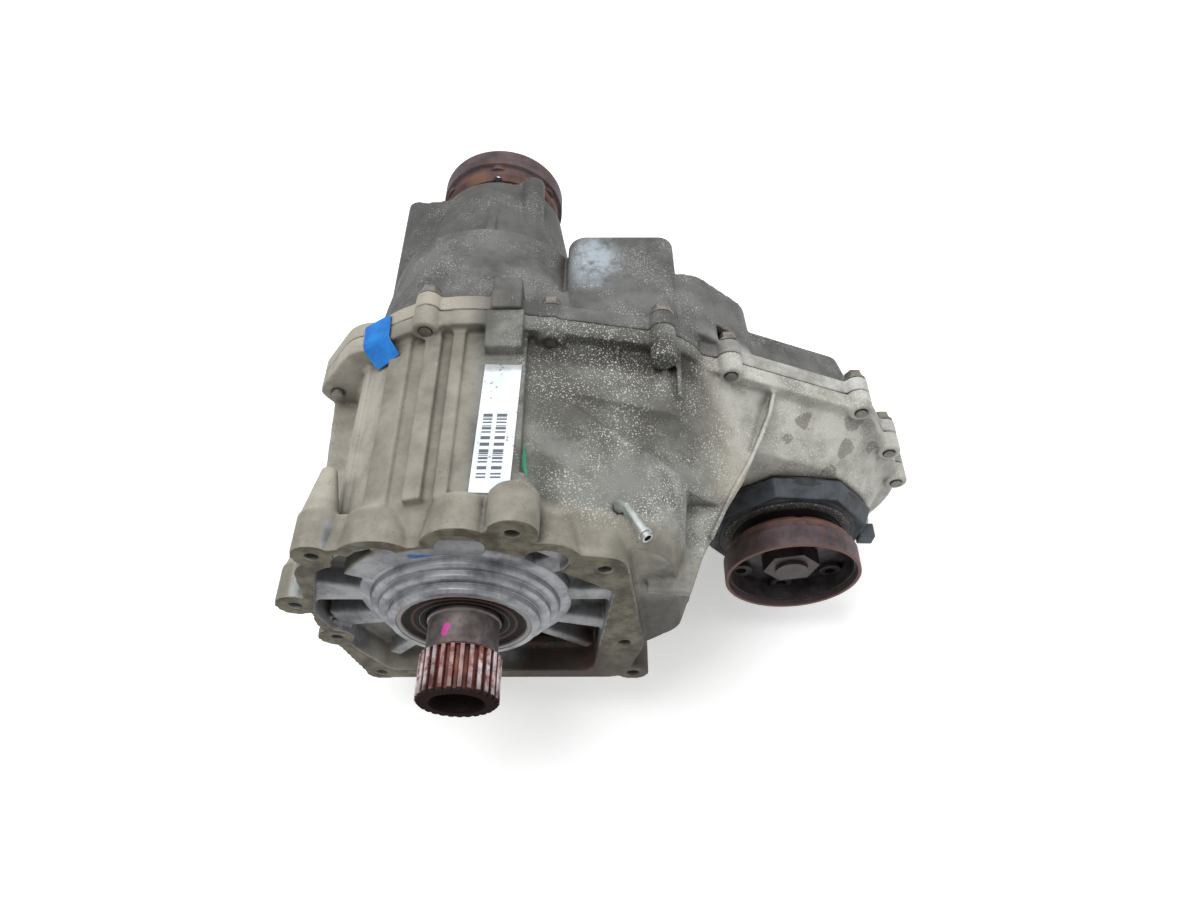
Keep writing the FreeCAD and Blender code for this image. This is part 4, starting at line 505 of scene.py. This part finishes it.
NODE_FINISH = {
    "front_case": CAST_FRONT, "rear_case": CAST_REAR, "oil_pump_housing": CAST_REAR,
    "case_sealant": SEALANT, "case_bolts": BOLT_STEEL, "input_shaft": SPLINE_STEEL,
    "front_output_flange": FRONT_FLANGE, "rear_output_flange": REAR_FLANGE,
    "front_flange_nut": NUT_STEEL, "rear_flange_nut": NUT_STEEL,
    "front_output_shaft": NUT_STEEL, "rear_output_shaft": NUT_STEEL, "front_output_shield": DARK_SHIELD,
    "input_seal": ringed_seal(), "front_output_seal": SEAL_RUBBER, "rear_output_seal": SEAL_RUBBER,
    "breather_pipe": ZINC, "fill_plug": ZINC, "drain_plug": ZINC, "oil_pickup_tube": ZINC,
    "label_plate": LABEL, "oil_strainer": DARK_PLASTIC, "sump_magnet": DARK_PLASTIC,
    "pilot_bush": BRASS, "sleeve_bushes": BRASS,
}


def finish_of(node):
    if node in NODE_FINISH:
        return NODE_FINISH[node]
    if node.endswith("_cage"):
        return BRASS
    if "bearing" in node:
        return RACE_STEEL
    return BARE_STEEL


for name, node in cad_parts.items():
    node.data.materials.clear()
    node.data.materials.append(finish_of(name))


# ---------------------------------------------------------------- castings with rounded edges

# turns a shape that stands on Z so that it stands along the shafts
ALONG_Y = Matrix.Rotation(math.pi / 2, 4, "X")


def baked(piece):
    """Gives a piece the mesh that its modifiers make, and clears them."""
    shaped = bpy.data.meshes.new_from_object(piece.evaluated_get(bpy.context.evaluated_depsgraph_get()))
    piece.modifiers.clear()
    piece.data = shaped


def linked(name, mesh):
    """An object of a mesh, in the scene."""
    piece = bpy.data.objects.new(name, mesh)
    bpy.context.scene.collection.objects.link(piece)
    return piece


CAST_GRAIN = 1.15
MOST_TRIANGLES = 190000

# the web at the shoulder of the rear half: its two ends, radius, front and back
SHOULDER_WEB = ((140, 50), (166, 36), 8, 160.6, 176)

# the crest of the fin, the way that it leans, its depth each side of the crest and half its thickness
FIN_LINE = ((201, 147.5, 27.3), (197, 132, 24.4), (189, 113.5, 21.8), (180.8, 96.1, 20), (167, 71.8, 20),
            (150.7, 37.5, 20))
FIN_LEAN = Vector((0.1, 0.58, -0.81))
FIN_DEPTHS = (-4, 22)
FIN_HALF = 1.3


def hulled(mesh, verts):
    """Makes vertices the corners of a closed hull."""
    hull = bmesh.ops.convex_hull(mesh, input=verts)
    bmesh.ops.delete(mesh, geom=list(set(hull["geom_unused"] + hull["geom_interior"])), context="VERTS")


def join_fin(mesh):
    """Adds the thin fin between the joint flange and the adapter, leaning as it is cast."""
    for start, end in zip(FIN_LINE, FIN_LINE[1:]):
        first, last = Vector(start), Vector(end)
        across = (last - first).cross(FIN_LEAN).normalized() * FIN_HALF
        corners = []
        for point in (first, last):
            for depth in FIN_DEPTHS:
                for side in (-1, 1):
                    corners.append(mesh.verts.new((point + FIN_LEAN * depth + across * side) * MM))
        hulled(mesh, corners)


def casting(node, webs=(), finned=False):
    """A casting shaped from a node's own solid, with edges and corners rounded as a mould leaves them."""
    piece = linked(node + "_casting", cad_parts[node].data.copy())
    mesh = bmesh.new()
    mesh.from_mesh(piece.data)
    for web in webs:
        join_web(mesh, *web)
    if finned:
        join_fin(mesh)
    mesh.to_mesh(piece.data)
    mesh.free()
    weld = piece.modifiers.new("weld", "WELD")
    weld.merge_threshold = 0.00001
    skin = piece.modifiers.new("skin", "REMESH")
    skin.mode = "VOXEL"
    skin.voxel_size = CAST_GRAIN * MM
    skin.use_smooth_shade = True
    soften = piece.modifiers.new("soften", "SMOOTH")
    soften.factor = 0.5
    soften.iterations = 2
    baked(piece)
    fewer = piece.modifiers.new("fewer", "DECIMATE")
    fewer.ratio = min(1.0, MOST_TRIANGLES / (2 * len(piece.data.polygons)))
    baked(piece)
    piece.data.materials.clear()
    piece.data.materials.append(finish_of(node))
    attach(piece, CASE)
    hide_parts(node)
    return piece


def join_web(mesh, first, last, radius, front, back):
    """Adds a web with round ends, between two points across the shafts."""
    added = []
    for x, z in (first, last):
        for y in (front, back):
            place = Matrix.Translation((x * MM, y * MM, z * MM)) @ ALONG_Y
            added += bmesh.ops.create_circle(mesh, segments=24, radius=radius * MM, matrix=place)["verts"]
    hulled(mesh, added)


casting("front_case", finned=True)
casting("rear_case", (SHOULDER_WEB,))


# ---------------------------------------------------------------- guard of the side output, and tape

# the guard: radius and place of its four loops, its turn, and the angle and reach of its lugs
GUARD_LOOPS = ((52, 107), (59, 104), (65, 118), (52, 118))
GUARD_TURN = 17
GUARD_LUGS = ((48, 62), (2, 61), (178, 60))
LUG_SIZE = 12
LUG_Y = 108


def made(name, mesh, material):
    """A piece from a finished bmesh, with its material."""
    data = bpy.data.meshes.new(name)
    mesh.to_mesh(data)
    mesh.free()
    data.materials.append(material)
    return linked(name, data)


def guard():
    """An eight-sided guard round the neck of the side output, with three lugs."""
    mesh = bmesh.new()
    place = Matrix.Translation((FRONT_AXIS[0] * MM, 0, FRONT_AXIS[1] * MM)) @ ALONG_Y
    turn = Matrix.Rotation(math.radians(GUARD_TURN), 4, "Z")
    loops = []
    for radius, y in GUARD_LOOPS:
        ring = bmesh.ops.create_circle(mesh, segments=8, radius=radius * MM,
                                       matrix=Matrix.Translation((0, y * MM, 0)) @ place @ turn)["verts"]
        loops.append([edge for edge in mesh.edges if edge.verts[0] in ring and edge.verts[1] in ring])
    for first, second in zip(loops, loops[1:] + loops[:1]):
        bmesh.ops.bridge_loops(mesh, edges=first + second)
    for angle, reach in GUARD_LUGS:
        lug = bmesh.ops.create_cube(mesh, size=1.0, matrix=Matrix.Translation((0, LUG_Y * MM, 0)) @ place
                                    @ Matrix.Rotation(math.radians(-angle), 4, "Z")
                                    @ Matrix.Translation((reach * MM, 0, 0)))["verts"]
        middle = sum((v.co for v in lug), Vector()) / len(lug)
        for vert in lug:
            vert.co = middle + (vert.co - middle) * LUG_SIZE * MM
    bmesh.ops.recalc_face_normals(mesh, faces=mesh.faces)
    bmesh.ops.bevel(mesh, geom=list(mesh.edges), offset=1.2 * MM, segments=2, profile=0.5, affect="EDGES",
                    material=-1)
    piece = made("front_output_guard", mesh, GUARD)
    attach(piece, CASE)


# the nose in section: radius and place along the shafts
NOSE_RINGS = ((40.6, -10.9), (44.2, -10.9), (45.8, -9.0), (46.0, -5.0), (50.2, -5.0), (51.9, -3.8),
              (52.3, -0.4), (55.6, -0.2), (57.0, 1.0), (57.8, 4.6), (62.6, 5.6), (64.4, 6.8), (65.6, 11.0),
              (65.6, 14.0), (40.6, 14.0))


def nose_rings():
    """The turned rings of the bearing nose."""
    mesh = bmesh.new()
    profile = [mesh.verts.new((reach * MM, along * MM, 0)) for reach, along in NOSE_RINGS]
    edges = [mesh.edges.new(pair) for pair in zip(profile, profile[1:] + profile[:1])]
    bmesh.ops.spin(mesh, geom=profile + edges, cent=(0, 0, 0), axis=(0, 1, 0), angle=2 * math.pi, steps=128,
                   use_merge=True)
    bmesh.ops.remove_doubles(mesh, verts=mesh.verts, dist=0.00001)
    bmesh.ops.recalc_face_normals(mesh, faces=mesh.faces)
    for face in mesh.faces:
        face.smooth = True
    piece = made("nose_rings", mesh, NOSE_SILVER)
    edge = piece.modifiers.new("edge", "BEVEL")
    edge.width = 0.5 * MM
    edge.segments = 2
    edge.limit_method = "ANGLE"
    edge.angle_limit = math.radians(25)
    edge.harden_normals = True
    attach(piece, CASE)


# the two edges of the tape, from its end on the rear half to its loose end
TAPE = (((-71.4, 166, 72.6), (-53.2, 170, 81.6)), ((-70.4, 158, 73.2), (-51.6, 159, 82.6)),
        ((-70.2, 150, 73.2), (-51.2, 150, 82.8)), ((-69.4, 146.8, 71.6), (-50.0, 146.8, 81.8)),
        ((-65.4, 142.2, 67.2), (-46.6, 141.6, 81.0)), ((-60.6, 137.2, 63.0), (-43.2, 136.2, 79.8)))


def tape_tag():
    """A strip of blue tape folded over the edge of the joint flange."""
    mesh = bmesh.new()
    last = [mesh.verts.new(Vector(point) * MM) for point in TAPE[0]]
    edges = [mesh.edges.new(last)]
    for pair in TAPE[1:]:
        drawn = bmesh.ops.extrude_edge_only(mesh, edges=edges)["geom"]
        edges = [part for part in drawn if isinstance(part, bmesh.types.BMEdge)]
        corners = sorted(edges[0].verts, key=lambda v: v.co.x)
        for vert, point in zip(corners, pair):
            vert.co = Vector(point) * MM
    bmesh.ops.subdivide_edges(mesh, edges=list(mesh.edges), cuts=3, use_grid_fill=True)
    bmesh.ops.recalc_face_normals(mesh, faces=mesh.faces)
    piece = made("blue_tape_tag", mesh, TAPE_BLUE)
    thick = piece.modifiers.new("thick", "SOLIDIFY")
    thick.thickness = 0.5 * MM
    thick.offset = 0.0
    round_off = piece.modifiers.new("round", "SUBSURF")
    round_off.levels = round_off.render_levels = 1
    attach(piece, CASE)


guard()
nose_rings()
tape_tag()


# ---------------------------------------------------------------- floor, light and camera

def stage_floor():
    mesh = bmesh.new()
    bmesh.ops.create_grid(mesh, x_segments=1, y_segments=1, size=6)
    low = cad_box[0][2]
    bmesh.ops.translate(mesh, verts=mesh.verts, vec=(0.1, 0.2, low - 0.0005))
    data = bpy.data.meshes.new("floor")
    mesh.to_mesh(data)
    mesh.free()
    floor = bpy.data.objects.new("floor", data)
    bpy.context.scene.collection.objects.link(floor)
    f = Finish("pale_floor")
    paths = f.node("ShaderNodeLightPath")
    seen = f.math("MAXIMUM", paths.outputs["Is Camera Ray"], paths.outputs["Is Glossy Ray"])
    f.shader.inputs["Base Color"].default_value = (0.86, 0.86, 0.86, 1)
    f.shader.inputs["Roughness"].default_value = 0.9
    f.shader.inputs["Emission Color"].default_value = (1, 1, 1, 1)
    f.feed(f.shader.inputs["Emission Strength"], f.times(seen, 0.35))
    data.materials.append(f.material)


def soft_lamp(name, place, aim, size, power):
    light = bpy.data.lights.new(name, "AREA")
    light.size = size
    light.energy = power
    lamp = bpy.data.objects.new(name, light)
    lamp.location = place
    lamp.rotation_euler = (Vector(aim) - Vector(place)).to_track_quat("-Z", "Y").to_euler()
    bpy.context.scene.collection.objects.link(lamp)


def sky(level):
    world = bpy.data.worlds.new("pale_sky")
    world.use_nodes = True
    tree = world.node_tree
    back = tree.nodes["Background"]
    paths = tree.nodes.new("ShaderNodeLightPath")
    seen = tree.nodes.new("ShaderNodeMath")
    seen.operation = "MAXIMUM"
    tree.links.new(paths.outputs["Is Camera Ray"], seen.inputs[0])
    tree.links.new(paths.outputs["Is Transmission Ray"], seen.inputs[1])
    strength = tree.nodes.new("ShaderNodeMapRange")
    strength.inputs["To Min"].default_value = level
    strength.inputs["To Max"].default_value = 1.0
    tree.links.new(seen.outputs[0], strength.inputs["Value"])
    tree.links.new(strength.outputs["Result"], back.inputs["Strength"])
    back.inputs["Color"].default_value = (1, 1, 1, 1)
    bpy.context.scene.world = world


def camera():
    lens_data = bpy.data.cameras.new("view")
    lens_data.sensor_width = 36
    lens_data.lens = 26.11
    lens_data.clip_start = 0.01
    eye = bpy.data.objects.new("view", lens_data)
    right = Vector((1.0, -0.00199, 0.0003)).normalized()
    forward = Vector((0.00141, 0.58082, -0.81403)).normalized()
    up = right.cross(forward).normalized()
    turn = Matrix((right, up, -forward)).transposed().to_4x4()
    eye.matrix_world = Matrix.Translation((0.08142, -0.22992, 0.48956)) @ turn
    bpy.context.scene.collection.objects.link(eye)
    bpy.context.scene.camera = eye


stage_floor()
soft_lamp("key", (-0.25, 0.0, 1.4), (0.1, 0.15, 0), 0.7, 13.5)
soft_lamp("fill", (1.2, 0.2, 0.9), (0.1, 0.15, 0), 1.2, 5)
soft_lamp("back", (0.1, 1.4, 0.9), (0.1, 0.15, 0), 1.2, 5)
sky(0.56)
camera()
bpy.context.scene.view_settings.view_transform = "Standard"
